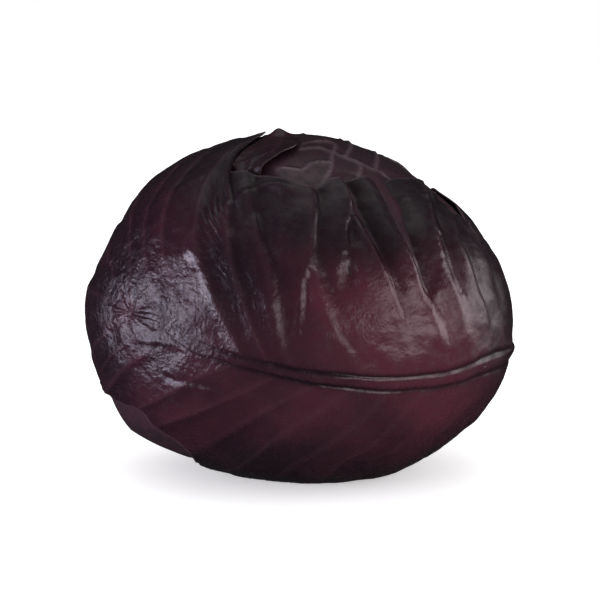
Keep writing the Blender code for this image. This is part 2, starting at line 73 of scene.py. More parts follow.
def step_up(value: Array, low: float, high: float) -> Array:
    """A smooth step from 0 at low to 1 at high.

    Args:
        value: What steps.
        low: Where the step starts.
        high: Where it ends.

    Returns:
        Values from 0 to 1.
    """
    t = np.clip((np.asarray(value, dtype=float) - low) / (high - low), 0, 1)
    return t * t * (3 - 2 * t)


def bell(distance: Array, width: float) -> Array:
    """A soft bump that is 1 at no distance and fades over a width."""
    return np.exp(-(np.asarray(distance) / width) ** 2)


@dataclass(frozen=True)
class HeadForm:
    """The head's smooth outside, and the eye that places on its front are given for."""

    centre: tuple[float, float, float] = (0.0, 0.0, 0.0680)
    outline_step: float = 20.0
    outline_mm: tuple[float, ...] = (86.0, 80.5, 73.6, 71.4, 71.6, 72.2, 74.8, 79.6, 82.2,
                                     88.2, 88.0, 87.4, 76.6, 73.4, 74.0, 78.3, 83.3, 88.0)
    front_depth: float = 0.0750
    back_depth: float = 0.0740
    roundness: float = 2.15
    eye_distance: float = 1.10
    eye_tilt: float = math.radians(11)
    sight_steps: int = 40
    onward_step: float = 8.0

    @property
    def right(self) -> Array:
        """The eye's right."""
        return np.array((1.0, 0.0, 0.0))

    @property
    def up(self) -> Array:
        """The eye's up."""
        return np.array((0.0, math.sin(self.eye_tilt), math.cos(self.eye_tilt)))

    @property
    def near(self) -> Array:
        """The direction from the head to the eye."""
        return np.array((0.0, -math.cos(self.eye_tilt), math.sin(self.eye_tilt)))

    def outline(self, angle: Array) -> Array:
        """Radius of the head's outline at an angle, on a smooth closed curve.

        Args:
            angle: Angles round the eye's line of sight, in radians.

        Returns:
            The radii in metres.
        """
        radii = np.array(self.outline_mm) * MM
        place = np.degrees(angle) / self.outline_step
        low = np.floor(place).astype(int)
        t = place - low
        return between([radii[(low + k) % len(radii)] for k in (-1, 0, 1, 2)], t)

    def reach(self, directions: Array) -> Array:
        """Distance from the centre to the smooth outside along unit directions."""
        across, up, near = (directions @ axis for axis in (self.right, self.up, self.near))
        radius = self.outline(np.arctan2(up, across))
        depth = np.where(near > 0, self.front_depth, self.back_depth)
        total = ((np.hypot(across, up) / radius) ** self.roundness
                 + (np.abs(near) / depth) ** self.roundness)
        return total ** (-1 / self.roundness)

    def seen(self, across_mm: float, up_mm: float) -> Array:
        """Direction from the centre to the place that the eye sees at a point.

        Args:
            across_mm: Millimetres to the right of the centre.
            up_mm: Millimetres above the centre.

        Returns:
            A unit direction.
        """
        eye = self.near * self.eye_distance
        ray = unit(self.right * across_mm * MM + self.up * up_mm * MM - eye)
        near_end, far_end = 0.5 * self.eye_distance, -float(eye @ ray)
        for _ in range(self.sight_steps):
            middle = 0.5 * (near_end + far_end)
            point = eye + ray * middle
            if np.linalg.norm(point) < self.reach(unit(point)):
                far_end = middle
            else:
                near_end = middle
        return unit(eye + ray * far_end)

    def place_of(self, point: Point) -> Array:
        """Direction of a point seen from the front (two numbers) or in space (three)."""
        return self.seen(*point) if len(point) == 2 else unit(point)

    def path(self, points: tuple[Point, ...], onward: float = 0, per_span: int = 8) -> Array:
        """A smooth path over the head.

        Args:
            points: Places along it.
            onward: Degrees that it runs on round the head after the last one.
            per_span: Steps from each place to the next.

        Returns:
            Unit directions along the path.
        """
        through = [self.place_of(p) for p in points]
        if onward:
            axis = unit(np.cross(through[-2], through[-1]))
            last = through[-1]
            steps = max(1, round(onward / self.onward_step))
            for k in range(1, steps + 1):
                angle = math.radians(onward) * k / steps
                through.append(last * math.cos(angle) + np.cross(axis, last) * math.sin(angle))
        return smooth_line(through, per_span)

    def distance(self, path: Array, directions: Array) -> Array:
        """Distance over the head from each direction to a path, in metres.

        Args:
            path: Directions along the path.
            directions: Where the distance is wanted.

        Returns:
            One distance for each direction.
        """
        flat = directions.reshape(-1, 3)
        points = flat * self.reach(flat)[:, None]
        line = path * self.reach(path)[:, None]
        best = np.full(len(points), 1.0)
        for a, b in zip(line, line[1:]):
            span = b - a
            t = np.clip((points - a) @ span / max(span @ span, 1e-12), 0, 1)
            best = np.minimum(best, np.linalg.norm(points - a - t[:, None] * span, axis=1))
        return best.reshape(directions.shape[:-1])

    def settled(self, directions: Array, radii: Array, floor: float) -> Array:
        """Points at radii along directions, pressed flat where they would pass below the floor.

        Args:
            directions: Unit directions from the centre.
            radii: How far out each point is.
            floor: Height that no point passes below.

        Returns:
            The points.
        """
        drop = np.where(directions[..., 2] < -1e-6, -directions[..., 2], 1e-6)
        limit = (self.centre[2] - floor) / drop
        pressed = radii > limit
        points = np.array(self.centre) + directions * np.minimum(radii, limit)[..., None]
        points[..., 2] = np.where(pressed, floor, points[..., 2])
        return points


def between(four: list[Array], t: float) -> Array:
    """A smooth step from the second of four values to the third, guided by the outer two.

    Args:
        four: The values in order.
        t: How far the step has gone, from 0 to 1.

    Returns:
        The value in between.
    """
    p0, p1, p2, p3 = four
    return 0.5 * (2 * p1 + (p2 - p0) * t + (2 * p0 - 5 * p1 + 4 * p2 - p3) * t ** 2
                  + (3 * p1 - p0 - 3 * p2 + p3) * t ** 3)


def smooth_line(through: list[Array], per_span: int) -> Array:
    """A smooth line of unit directions through the given ones.

    Args:
        through: The directions to pass.
        per_span: Steps from each to the next.

    Returns:
        The line's directions.
    """
    ends = [2 * through[0] - through[1]] + through + [2 * through[-1] - through[-2]]
    line = []
    for p0, p1, p2, p3 in zip(ends, ends[1:], ends[2:], ends[3:]):
        line += [between([p0, p1, p2, p3], k / per_span) for k in range(per_span)]
    line.append(through[-1])
    return unit(np.array(line))


def along(path: Array, fractions: Array) -> Array:
    """Directions at fractions of a path's length.

    Args:
        path: Directions along the path.
        fractions: Parts of its length, from 0 to 1.

    Returns:
        One direction for each fraction.
    """
    spans = np.linalg.norm(np.diff(path, axis=0), axis=1)
    total = np.concatenate(([0.0], np.cumsum(spans)))
    wanted = np.asarray(fractions) * total[-1]
    return unit(np.stack([np.interp(wanted, total, path[:, k]) for k in range(3)], axis=-1))


FORM = HeadForm()


@dataclass
class Vein:
    """A side vein: its path from the midrib to the margin and the hollow after it."""

    path: Array
    hollow_mm: float

    @classmethod
    def listed(cls, rows: tuple) -> list["Vein"]:
        """Side veins from rows of points, degrees onward and depth of hollow."""
        return [cls(FORM.path(points, onward), hollow) for points, onward, hollow in rows]


@dataclass(frozen=True)
class Tear:
    """A tear that runs in from the margin along a side vein."""

    place: float
    start: float
    width: float
    lift: float


def rough(points: Array, size: float, octaves: int = 3, seed: float = 0.0) -> Array:
    """Smooth random heights between about -1 and 1 at points.

    Args:
        points: Positions, any shape ending in 3.
        size: Size of the largest lumps in metres.
        octaves: How many finer layers are added.
        seed: Moves the pattern.

    Returns:
        One value for each point.
    """
    flat = points.reshape(-1, 3) / size + seed
    values = [noise.fractal(Vector(p), 1.0, 2.0, octaves) for p in flat]
    return np.array(values).reshape(points.shape[:-1])


def lofted(veins: list[Vein], low: int, part: float, rows: Array) -> Array:
    """The line that lies a part of the way from one vein to the next.

    Args:
        veins: The veins in order.
        low: Number of the vein before the line.
        part: How far the line lies towards the next vein, from 0 to 1.
        rows: Fractions of the veins' lengths.

    Returns:
        One direction for each row.
    """
    last = len(veins) - 1
    return between([along(veins[min(max(k, 0), last)].path, rows)
                    for k in range(low - 1, low + 3)], part)


class Sheet:
    """A leaf's outer side: columns of directions, with relief and marks at each point."""

    wave_size = 0.011
    curl_size = 0.009
    curl_from = 0.84

    def __init__(self, lines: list[Array], row_places: Array) -> None:
        """Starts a sheet without relief.

        Args:
            lines: Each column's directions, out to the margin.
            row_places: How far out each row lies; the margin is at 1.
        """
        self.row_places = row_places
        self.directions = np.array(lines)
        self.rows = np.tile(row_places, (len(lines), 1))
        self.sides = np.zeros(len(lines), dtype=int)
        self.relief = np.zeros(self.rows.shape)
        self.marks: dict[str, Array] = {}

    def base_points(self) -> Array:
        """The smooth outside's points at the grid."""
        return self.directions * FORM.reach(self.directions)[..., None]

    def ruffle(self, amount: float, lift: float, seed: float) -> None:
        """Waves the margin in and out, and up and down.

        Args:
            amount: Greatest share of the blade that the waves take in.
            lift: Height of the waves at the margin.
            seed: Moves the pattern.
        """
        ends = self.directions[:, -1]
        waves = rough(ends * HEAD_RADIUS, self.wave_size, 3, seed)
        for column, wave in enumerate(waves):
            share = self.row_places * (1 - amount * max(0.0, 0.5 + wave))
            self.directions[column] = unit(np.stack(
                [np.interp(share, self.row_places, self.directions[column][:, k])
                 for k in range(3)], axis=-1))
        lifts = rough(ends * HEAD_RADIUS, self.curl_size, 2, seed + 4.0)
        self.relief += lift * lifts[:, None] * step_up(self.rows, self.curl_from, 1.0)

    def add_ridge(self, points: tuple[Point, ...], height: float, width: float) -> None:
        """Raises or sinks a fold along a path.

        Args:
            points: Places along it.
            height: Its height, below 0 where it sinks.
            width: Half its width.
        """
        gap = FORM.distance(FORM.path(points), self.directions)
        self.relief += height * bell(gap, width)

    def add_lumps(self, size: float, height: float, seed: float) -> None:
        """Makes the blade softly uneven."""
        self.relief += height * rough(self.base_points(), size, 3, seed)

    def radii(self) -> Array:
        """Distance from the centre to the outer side."""
        return FORM.reach(self.directions) + self.relief


class Blade(Sheet):
    """A whole leaf's outer side, lofted between the side veins of its midrib."""

    row_crowding = 1.12
    below_from = 100.0
    lower_softness = 0.35
    pleat_crest = 0.82
    pleat_curve = 1.9
    tear_columns = 4
    tear_fade = 1.2
    rib_taper = 0.65
    rib_fades = (0.66, 0.86)
    groove_place = 1.15

    def __init__(self, rib: Array, above: list[Vein], tip: list[Vein], below: list[Vein],
                 tears: tuple[Tear, ...], columns: int, fan: int, rows: int) -> None:
        """Lays out the columns.

        Args:
            rib: The midrib's path from the stem end.
            above: Side veins on the upper side, from the stem end.
            tip: Side veins that spread from the midrib's end.
            below: Side veins on the lower side, from the stem end.
            tears: Tears in the upper side.
            columns: Columns on each side of the midrib.
            fan: Columns between two veins of the fan at its end.
            rows: Rows from the midrib to the margin.
        """
        self.rib, self.tears, self.veins = rib, tears, above + tip + below
        self.row_places = np.linspace(0, 1, rows) ** self.row_crowding
        self.columns: list[dict] = []
        starts = np.linspace(0, 1, columns + 1)[:-1]
        shares = {id(side): self.rib_shares(side) for side in (above, below)}
        lowest = max(shares[id(above)][0], shares[id(below)][0])
        starts = lowest + (min(shares[id(above)][-1], shares[id(below)][-1]) - lowest) * starts
        self.add_side(above, shares[id(above)], starts, tears, 0)
        self.add_fan([above[-1]] + tip + [below[-1]], fan, len(above) - 1)
        self.add_side(below, shares[id(below)], starts, (), 1)
        super().__init__([c["line"] for c in self.columns], self.row_places)
        self.part = np.array([c["part"] for c in self.columns])
        self.depth = np.array([c["depth"] for c in self.columns])
        self.counted = np.array([c["counted"] for c in self.columns])
        self.sides = np.array([c["side"] for c in self.columns])

    def rib_shares(self, veins: list[Vein]) -> Array:
        """How far along the midrib each side vein starts, from 0 to 1.

        Args:
            veins: The side veins in order.

        Returns:
            One share for each, never falling.
        """
        lengths = np.linspace(0, 1, 800)
        points = along(self.rib, lengths)
        shares = [lengths[int(np.argmax(points @ v.path[0]))] for v in veins]
        return np.maximum.accumulate(shares)

    def add_column(self, veins: list[Vein], low: int, part: float, start: Array, side: int,
                   counted: float) -> None:
        """Adds the column that lies a part of the way from one side vein to the next.

        Args:
            veins: The side veins in order.
            low: Number of the vein before the column.
            part: How far the column lies towards the next vein.
            start: Its first direction, on the midrib.
            side: -1 or 1 on the two sides of a tear, else 0.
            counted: Its place among the veins.
        """
        rows = self.row_places
        line = lofted(veins, low, part, rows)
        line = unit(line + (start - line[0]) * (1 - rows[:, None]) ** 2)
        self.columns.append({"line": line, "part": part, "depth": veins[low].hollow_mm,
                             "side": side, "counted": counted})

    def add_side(self, veins: list[Vein], shares: Array, starts: Array,
                 tears: tuple[Tear, ...], turned: int) -> None:
        """Adds the columns of one side of the midrib.

        Args:
            veins: The side's veins from the stem end.
            shares: Where each starts along the midrib.
            starts: Where the columns start along the midrib.
            tears: Tears in this side.
            turned: 1 to add the columns from the crown back to the stem end.
        """
        places = np.interp(starts, shares, range(len(shares)))
        wanted = [(p, s, 0) for p, s in zip(places, starts)]
        for tear in tears:
            share = float(np.interp(tear.place, range(len(shares)), shares))
            wanted = [w for w in wanted if abs(w[0] - tear.place) > 0.02]
            wanted += [(tear.place - 1e-6, share, -1), (tear.place + 1e-6, share, 1)]
        wanted.append((len(shares) - 1.0, float(shares[-1]), 0))
        wanted.sort(key=lambda w: w[0], reverse=bool(turned))
        for place, share, side in wanted:
            low = min(int(place), len(veins) - 2)
            start = along(self.rib, [share])[0]
            counted = place + self.below_from * turned
            self.add_column(veins, low, place - low, start, side, counted)

    def add_fan(self, veins: list[Vein], fan: int, counted: float) -> None:
        """Adds the columns that spread from the midrib's end.

        Args:
            veins: The veins of the fan, with the last side vein on each hand.
            fan: Columns between two of them.
            counted: The first vein's place among the veins.
        """
        first, last = (self.rib_shares([vein])[0] for vein in (veins[0], veins[-1]))
        for low in range(len(veins) - 1):
            for k in range(fan):
                share = 1.0
                if low == 0:
                    share = first + (1 - first) * k / fan
                elif low == len(veins) - 2:
                    share = 1 - (1 - last) * k / fan
                if low or k:
                    start = along(self.rib, [share])[0]
                    self.add_column(veins, low, k / fan, start, 0, counted + low + k / fan)

    def open_tears(self) -> None:
        """Parts the two sides of each tear and lifts the crown side over the other."""
        for tear in self.tears:
            opening = step_up(self.rows, tear.start, 1.0)
            for side in (-1, 1):
                column = np.flatnonzero((self.sides == side)
                                        & (np.abs(self.counted - tear.place) < 0.01))[0]
                for step in range(self.tear_columns):
                    at = column + side * step
                    beyond = column + side * (self.tear_columns + 1)
                    away = self.directions[beyond] - self.directions[column]
                    away /= np.maximum(np.linalg.norm(away, axis=1, keepdims=True), 1e-6)
                    shift = 0.5 * tear.width / HEAD_RADIUS * opening[column]
                    shift *= 1 - step / self.tear_columns
                    self.directions[at] = unit(self.directions[at] + away * shift[:, None])
            after = np.clip(1 - (self.counted - tear.place) / self.tear_fade, 0, 1)
            after *= (self.counted > tear.place) & (self.counted < self.below_from)
            self.relief += tear.lift * opening * after[:, None]

    def add_hollows(self) -> None:
        """Sinks the blade between its side veins, more towards the margin."""
        crest = self.pleat_crest
        slow = (np.clip(self.part, 0, crest) / crest) ** self.pleat_curve
        steep = step_up(1 - self.part, 0, 1 - crest)
        profile = np.where(self.part < crest, slow, steep)
        softness = np.where(self.counted < self.below_from, 1.0, self.lower_softness)
        depth = self.depth * MM * profile * softness
        self.relief -= depth[:, None] * step_up(self.rows, 0.05, 0.75)
        # Painted shade: this mark darkens the hollows between the side veins towards the shadow
        # colour.
        self.marks["hollow"] = profile[:, None] * step_up(self.rows, 0.15, 0.7)

    def add_midrib(self, width: float, height: float, groove: float) -> None:
        """Raises the midrib between two grooves; it is broadest at the stem end.

        Args:
            width: Half its width at the stem end.
            height: Its height there.
            groove: Depth of the grooves.
        """
        gap = FORM.distance(self.rib, self.directions)
        nearest = np.argmax(self.directions @ self.rib.T, axis=-1) / (len(self.rib) - 1)
        wide = width * (1 - self.rib_taper * nearest)
        strong = 1 - step_up(nearest, *self.rib_fades)
        self.relief += height * (1 - 0.7 * nearest) * strong * bell(gap, wide)
        aside = gap - self.groove_place * wide
        self.relief -= groove * (0.25 + 0.75 * strong) * bell(aside, 0.38 * wide)
        # Painted shade: this mark darkens the midrib's grooves and a crease band along it towards
        # the shadow colour.
        self.marks["groove"] = (0.35 + 0.65 * strong) * bell(aside, 0.5 * wide)
        self.marks["groove"] += 0.5 * bell(gap, 2.2 * wide) * step_up(nearest, 0.45, 0.62) \
            * (1 - step_up(nearest, 0.8, 0.95))

    def add_veins(self, height: float, width: float) -> None:
        """Raises the side veins as thin lines that fade towards the margin.

        Args:
            height: Their height at the midrib.
            width: Half their width.
        """
        best = np.full(self.rows.shape, 1.0)
        for vein in self.veins:
            best = np.minimum(best, FORM.distance(vein.path[::3], self.directions))
        mark = bell(best, width)
        self.relief += height * mark * (1 - 0.5 * self.rows)
        self.marks["vein"] = mark


def cover(directions: Array, blades: tuple[Sheet, ...], thickness: float, gap: float,
          slope: float, spread: float) -> Array:
    """The greatest radius that stays under the given blades.

    Args:
        directions: Where the radius is wanted.
        blades: The blades on top.
        thickness: Thickness of those blades.
        gap: Room left under them.
        slope: How fast the radius may grow beyond their margins.
        spread: Distance over which a blade's point still counts as on top.

    Returns:
        One radius for each direction.
    """
    flat = directions.reshape(-1, 3)
    limit = np.full(len(flat), 1.0)
    for blade in blades:
        over = blade.directions[::4, ::4].reshape(-1, 3)
        under = (blade.radii() - thickness)[::4, ::4].reshape(-1)
        for first in range(0, len(flat), 2000):
            some = flat[first:first + 2000]
            apart = np.arccos(np.clip(some @ over.T, -1, 1)) * HEAD_RADIUS
            allowed = under[None, :] - gap + slope * np.maximum(0, apart - spread)
            limit[first:first + 2000] = np.minimum(limit[first:first + 2000],
                                                   allowed.min(axis=1))
    return limit.reshape(directions.shape[:-1])


def finish_piece(name: str, work: bmesh.types.BMesh, material: bpy.types.Material,
                 nodes: tuple[str, ...]) -> bpy.types.Object:
    """Turns edited geometry into a piece that stands for CAD nodes.

    Args:
        name: The piece's name.
        work: Its geometry, which is freed.
        material: Its finish.
        nodes: The CAD nodes that it stands for.

    Returns:
        The piece.
    """
    mesh = bpy.data.meshes.new(name)
    work.to_mesh(mesh)
    work.free()
    mesh.materials.append(material)
    mesh.shade_smooth()
    piece = bpy.data.objects.new(name, mesh)
    bpy.context.scene.collection.objects.link(piece)
    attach(piece, "root")
    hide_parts(*nodes)
    return piece


def blade_geometry(blade: Sheet, thickness: float, floor: float) -> bmesh.types.BMesh:
    """Closes a blade's outer side with an inner one.

    Args:
        blade: The outer side.
        thickness: The blade's thickness.
        floor: Height that nothing passes below.

    Returns:
        The geometry, with the blade's marks as float layers.
    """
    radii = blade.radii()
    columns, rows = radii.shape
    thin = thickness * (1 - EDGE_THINNING * step_up(blade.rows, 0.9, 1.0))
    outer = FORM.settled(blade.directions, radii, floor)
    inner = FORM.settled(blade.directions, radii - thin, floor + thickness).reshape(-1, 3)
    work = bmesh.new()
    number = work.verts.layers.int.new("number")
    layers = {name: work.verts.layers.float.new(name) for name in blade.marks}
    grid = []
    for c in range(columns):
        line = []
        for r in range(rows):
            vert = work.verts.new(outer[c, r])
            vert[number] = c * rows + r
            for name, layer in layers.items():
                vert[layer] = float(blade.marks[name][c, r])
            line.append(vert)
        grid.append(line)
    for c in range(columns - 1):
        if blade.sides[c] == -1:
            continue
        for r in range(rows - 1):
            work.faces.new((grid[c][r], grid[c + 1][r], grid[c + 1][r + 1], grid[c][r + 1]))
    bmesh.ops.remove_doubles(work, verts=work.verts[:], dist=WELD_DISTANCE)
    made = bmesh.ops.extrude_face_region(work, geom=work.faces[:], use_keep_orig=True)
    for vert in (g for g in made["geom"] if isinstance(g, bmesh.types.BMVert)):
        vert.co = inner[vert[number]]
    bmesh.ops.recalc_face_normals(work, faces=work.faces[:])
    if work.calc_volume(signed=True) < 0:
        bmesh.ops.reverse_faces(work, faces=work.faces[:])
    return work


class Shader:
    """A small helper that wires one material's nodes."""

    def __init__(self, name: str) -> None:
        """Starts a material with a Principled surface."""
        self.material = bpy.data.materials.new(name)
        self.material.use_nodes = True
        self.tree = self.material.node_tree
        self.surface = self.tree.nodes["Principled BSDF"]

    def node(self, kind: str, **values: object) -> bpy.types.Node:
        """Adds a node; names with a leading capital are inputs, others are properties.

        Args:
            kind: The node's type.
            **values: What is set on it.

        Returns:
            The node.
        """
        made = self.tree.nodes.new(kind)
        for key, value in values.items():
            if key[0].isupper():
                made.inputs[key.replace("_", " ")].default_value = value
            else:
                setattr(made, key, value)
        return made

    def link(self, source: bpy.types.NodeSocket, target: bpy.types.NodeSocket) -> None:
        """Joins two sockets."""
        self.tree.links.new(source, target)

    def mark(self, name: str) -> bpy.types.NodeSocket:
        """The value of a layer stored on the mesh."""
        return self.node("ShaderNodeAttribute", attribute_name=name).outputs["Fac"]

    def maths(self, operation: str, first: object, second: object = 0.0,
              clamp: bool = False) -> bpy.types.NodeSocket:
        """A sum of two sockets or numbers.

        Args:
            operation: What is done with them.
            first: A socket or number.
            second: Another.
            clamp: Whether the result is kept from 0 to 1.

        Returns:
            The result.
        """
        made = self.node("ShaderNodeMath", operation=operation, use_clamp=clamp)
        for index, value in enumerate((first, second)):
            if isinstance(value, (int, float)):
                made.inputs[index].default_value = value
            else:
                self.link(value, made.inputs[index])
        return made.outputs[0]

    def mix(self, amount: object, first: object, second: object) -> bpy.types.NodeSocket:
        """Mixes two colours by an amount.

        Args:
            amount: 0 for the first colour, 1 for the second.
            first: A socket or colour.
            second: Another.

        Returns:
            The mixed colour.
        """
        made = self.node("ShaderNodeMix", data_type="RGBA")
        for socket, value in ((made.inputs["Factor"], amount), (made.inputs[6], first),
                              (made.inputs[7], second)):
            if isinstance(value, tuple):
                socket.default_value = (*value, 1.0)
            elif isinstance(value, (int, float)):
                socket.default_value = value
            else:
                self.link(value, socket)
        return made.outputs[2]

    def speckle(self, size: float, detail: float = 3.0, rough_amount: float = 0.55,
                stretch: tuple[float, float, float] = (1, 1, 1)) -> bpy.types.NodeSocket:
        """Soft noise with lumps of a size in metres.

        Args:
            size: Size of the lumps.
            detail: How many finer layers are added.
            rough_amount: How strong those layers are.
            stretch: Scale along each axis.

        Returns:
            Values round one half.
        """
        where = self.node("ShaderNodeTexCoord").outputs["Object"]
        turned = self.node("ShaderNodeMapping")
        turned.inputs["Scale"].default_value = stretch
        self.link(where, turned.inputs["Vector"])
        made = self.node("ShaderNodeTexNoise", Scale=1 / size, Detail=detail,
                         Roughness=rough_amount)
        self.link(turned.outputs["Vector"], made.inputs["Vector"])
        return made.outputs["Fac"]

    def ramp(self, value: bpy.types.NodeSocket, low: float, high: float) -> bpy.types.NodeSocket:
        """Stretches a value so that low becomes 0 and high becomes 1.

        Args:
            value: What is stretched.
            low: What becomes 0.
            high: What becomes 1.

        Returns:
            The stretched value.
        """
        made = self.node("ShaderNodeMapRange", interpolation_type="SMOOTHSTEP")
        made.inputs["From Min"].default_value = low
        made.inputs["From Max"].default_value = high
        self.link(value, made.inputs["Value"])
        return made.outputs["Result"]


@dataclass(frozen=True)
class LeafFinish:
    """Waxy purple leaf: darker and redder patches, pale veins, bloom and crinkled gloss, with
    painted shade in its hollows and grooves and a painted highlight along its margins.
    """

    name: str
    dark: tuple[float, float, float] = (0.0090, 0.0036, 0.0066)
    red: tuple[float, float, float] = (0.0520, 0.0105, 0.0190)
    bloom: tuple[float, float, float] = (0.0110, 0.0062, 0.0098)
    # Painted highlight: the pale colour laid along the leaf margins.
    edge: tuple[float, float, float] = (0.1100, 0.0640, 0.0840)
    vein: tuple[float, float, float] = (0.070, 0.028, 0.040)
    shadow: tuple[float, float, float] = (0.0080, 0.0028, 0.0055)
    vein_amount: float = 0.16
    patch_amount: float = 0.30
    hollow_shade_amount: float = 0.7
    groove_shade_amount: float = 0.75
    rim_highlight_amount: float = 0.5
    mottle_size: float = 0.0035
    gloss_roughness: float = 0.25
    bloom_roughness: float = 0.56
    crinkle_size: float = 0.0025
    crinkle_depth: float = 0.00075
    bend_scale: float = 320.0
    bend_amount: float = 0.004
    specular_level: float = 0.55

    def build(self) -> bpy.types.Material:
        """Makes the material.

        Returns:
            The material.
        """
        shade = Shader(self.name)
        patches = shade.ramp(shade.speckle(size=0.030, detail=4.0), low=0.36, high=0.66)
        redness = shade.mark("red")
        redder = shade.maths("MULTIPLY", patches, self.patch_amount)
        amount = shade.maths("ADD", redder, redness, clamp=True)
        colour = shade.mix(amount, self.dark, self.red)
        mottle = shade.ramp(shade.speckle(self.mottle_size, 4.0, 0.6), low=0.35, high=0.7)
        bloom = shade.maths("MULTIPLY", shade.mark("bloom"),
                            shade.maths("ADD", shade.maths("MULTIPLY", mottle, 0.5), 0.6), True)
        colour = shade.mix(bloom, colour, self.bloom)
        vein = shade.maths("MULTIPLY", shade.mark("vein"), self.vein_amount)
        colour = shade.mix(vein, colour, self.vein)
        # Painted shade: the hollows and the midrib's grooves are mixed towards the shadow colour.
        sunk = shade.maths("MULTIPLY", shade.mark("hollow"), self.hollow_shade_amount)
        groove = shade.maths("MULTIPLY", shade.mark("groove"), self.groove_shade_amount)
        groove = shade.maths("MAXIMUM", groove, sunk)
        colour = shade.mix(groove, colour, self.shadow)
        # Painted highlight: the margins are lightened towards the edge colour.
        rim = shade.maths("MULTIPLY", shade.mark("edge"), self.rim_highlight_amount)
        colour = shade.mix(rim, colour, self.edge)
        shade.link(colour, shade.surface.inputs["Base Color"])
        duller = shade.maths("MULTIPLY", bloom, self.bloom_roughness - self.gloss_roughness)
        rough_value = shade.maths("ADD", duller, self.gloss_roughness)
        fine = shade.maths("MULTIPLY", shade.maths("SUBTRACT", mottle, 0.5), 0.10)
        shade.link(shade.maths("ADD", rough_value, fine), shade.surface.inputs["Roughness"])
        shade.link(self.crinkles(shade), shade.surface.inputs["Normal"])
        shade.surface.inputs["Specular IOR Level"].default_value = self.specular_level
        return shade.material

    def crinkles(self, shade: Shader) -> bpy.types.NodeSocket:
        """The bumps of the crinkled skin, strongest where the leaf is marked as crinkled.

        Args:
            shade: The material in the making.

        Returns:
            The bumped normal.
        """
        wrinkles = shade.speckle(self.crinkle_size, 5.0, 0.62)
        folds = shade.node("ShaderNodeTexVoronoi", feature="DISTANCE_TO_EDGE",
                           Scale=1 / (1.6 * self.crinkle_size))
        where = shade.node("ShaderNodeTexCoord").outputs["Object"]
        bend = shade.node("ShaderNodeTexNoise", Scale=self.bend_scale, Detail=3.0)
        shade.link(where, bend.inputs["Vector"])
        warp = shade.node("ShaderNodeVectorMath", operation="MULTIPLY_ADD")
        shade.link(bend.outputs["Color"], warp.inputs[0])
        warp.inputs[1].default_value = (self.bend_amount,) * 3
        shade.link(where, warp.inputs[2])
        shade.link(warp.outputs[0], folds.inputs["Vector"])
        edge = shade.ramp(folds.outputs["Distance"], 0.0, 0.5)
        height = shade.maths("ADD", shade.maths("MULTIPLY", edge, 0.16), wrinkles)
        amount = shade.maths("ADD", shade.maths("MULTIPLY", shade.mark("crinkle"), 0.95), 0.03)
        bump = shade.node("ShaderNodeBump", Distance=self.crinkle_depth)
        shade.link(shade.maths("MULTIPLY", height, amount), bump.inputs["Height"])
        return bump.outputs["Normal"]


@dataclass(frozen=True)
class StemFinish:
    """Pale cut stem: a dried fibrous face with brown blotches, turning purple towards its rim."""

    name: str = "cut_stem_flesh"
    pale: tuple[float, float, float] = (0.55, 0.44, 0.38)
    brown: tuple[float, float, float] = (0.22, 0.13, 0.10)
    purple: tuple[float, float, float] = (0.13, 0.050, 0.080)

    def build(self) -> bpy.types.Material:
        """Makes the material.

        Returns:
            The material.
        """
        shade = Shader(self.name)
        fibres = shade.ramp(shade.speckle(0.0016, 5.0, 0.7), 0.38, 0.66)
        colour = shade.mix(shade.maths("MULTIPLY", fibres, 0.6), self.pale, self.brown)
        blotch = shade.ramp(shade.speckle(0.008, 3.0), 0.45, 0.62)
        colour = shade.mix(shade.maths("MULTIPLY", blotch, 0.35), colour, self.brown)
        colour = shade.mix(shade.mark("side"), colour, self.purple)
        shade.link(colour, shade.surface.inputs["Base Color"])
        shade.link(shade.maths("ADD", shade.maths("MULTIPLY", fibres, 0.2), 0.55),
                   shade.surface.inputs["Roughness"])
        bump = shade.node("ShaderNodeBump", Distance=0.0004)
        shade.link(fibres, bump.inputs["Height"])
        shade.link(bump.outputs["Normal"], shade.surface.inputs["Normal"])
        return shade.material


def patch_axes(point: Point) -> tuple[Array, Array, Array]:
    """A place's direction on the head, and its sideways and upward directions over the skin."""
    middle = FORM.place_of(point)
    side = unit(np.cross(FORM.up, middle))
    return middle, side, np.cross(middle, side)


def region(directions: Array, point: Point, width_mm: float, height_mm: float) -> Array:
    """A soft patch round a place on the head, as seen from the front.

    Args:
        directions: Where it is wanted.
        point: The patch's middle.
        width_mm: Half its width.
        height_mm: Half its height.

    Returns:
        Values from 0 to 1.
    """
    middle, side, rise = patch_axes(point)
    across = (directions @ side) * HEAD_RADIUS / (width_mm * MM)
    up = (directions @ rise) * HEAD_RADIUS / (height_mm * MM)
    return np.exp(-(across ** 2 + up ** 2)) * (directions @ middle > 0)


def patched(directions: Array, zones: tuple) -> Array:
    """Adds up soft patches.

    Args:
        directions: Where the sum is wanted.
        zones: Each patch's strength, middle, half width and half height in millimetres.

    Returns:
        The sum at each direction.
    """
    return sum(strength * region(directions, *patch) for strength, *patch in zones)


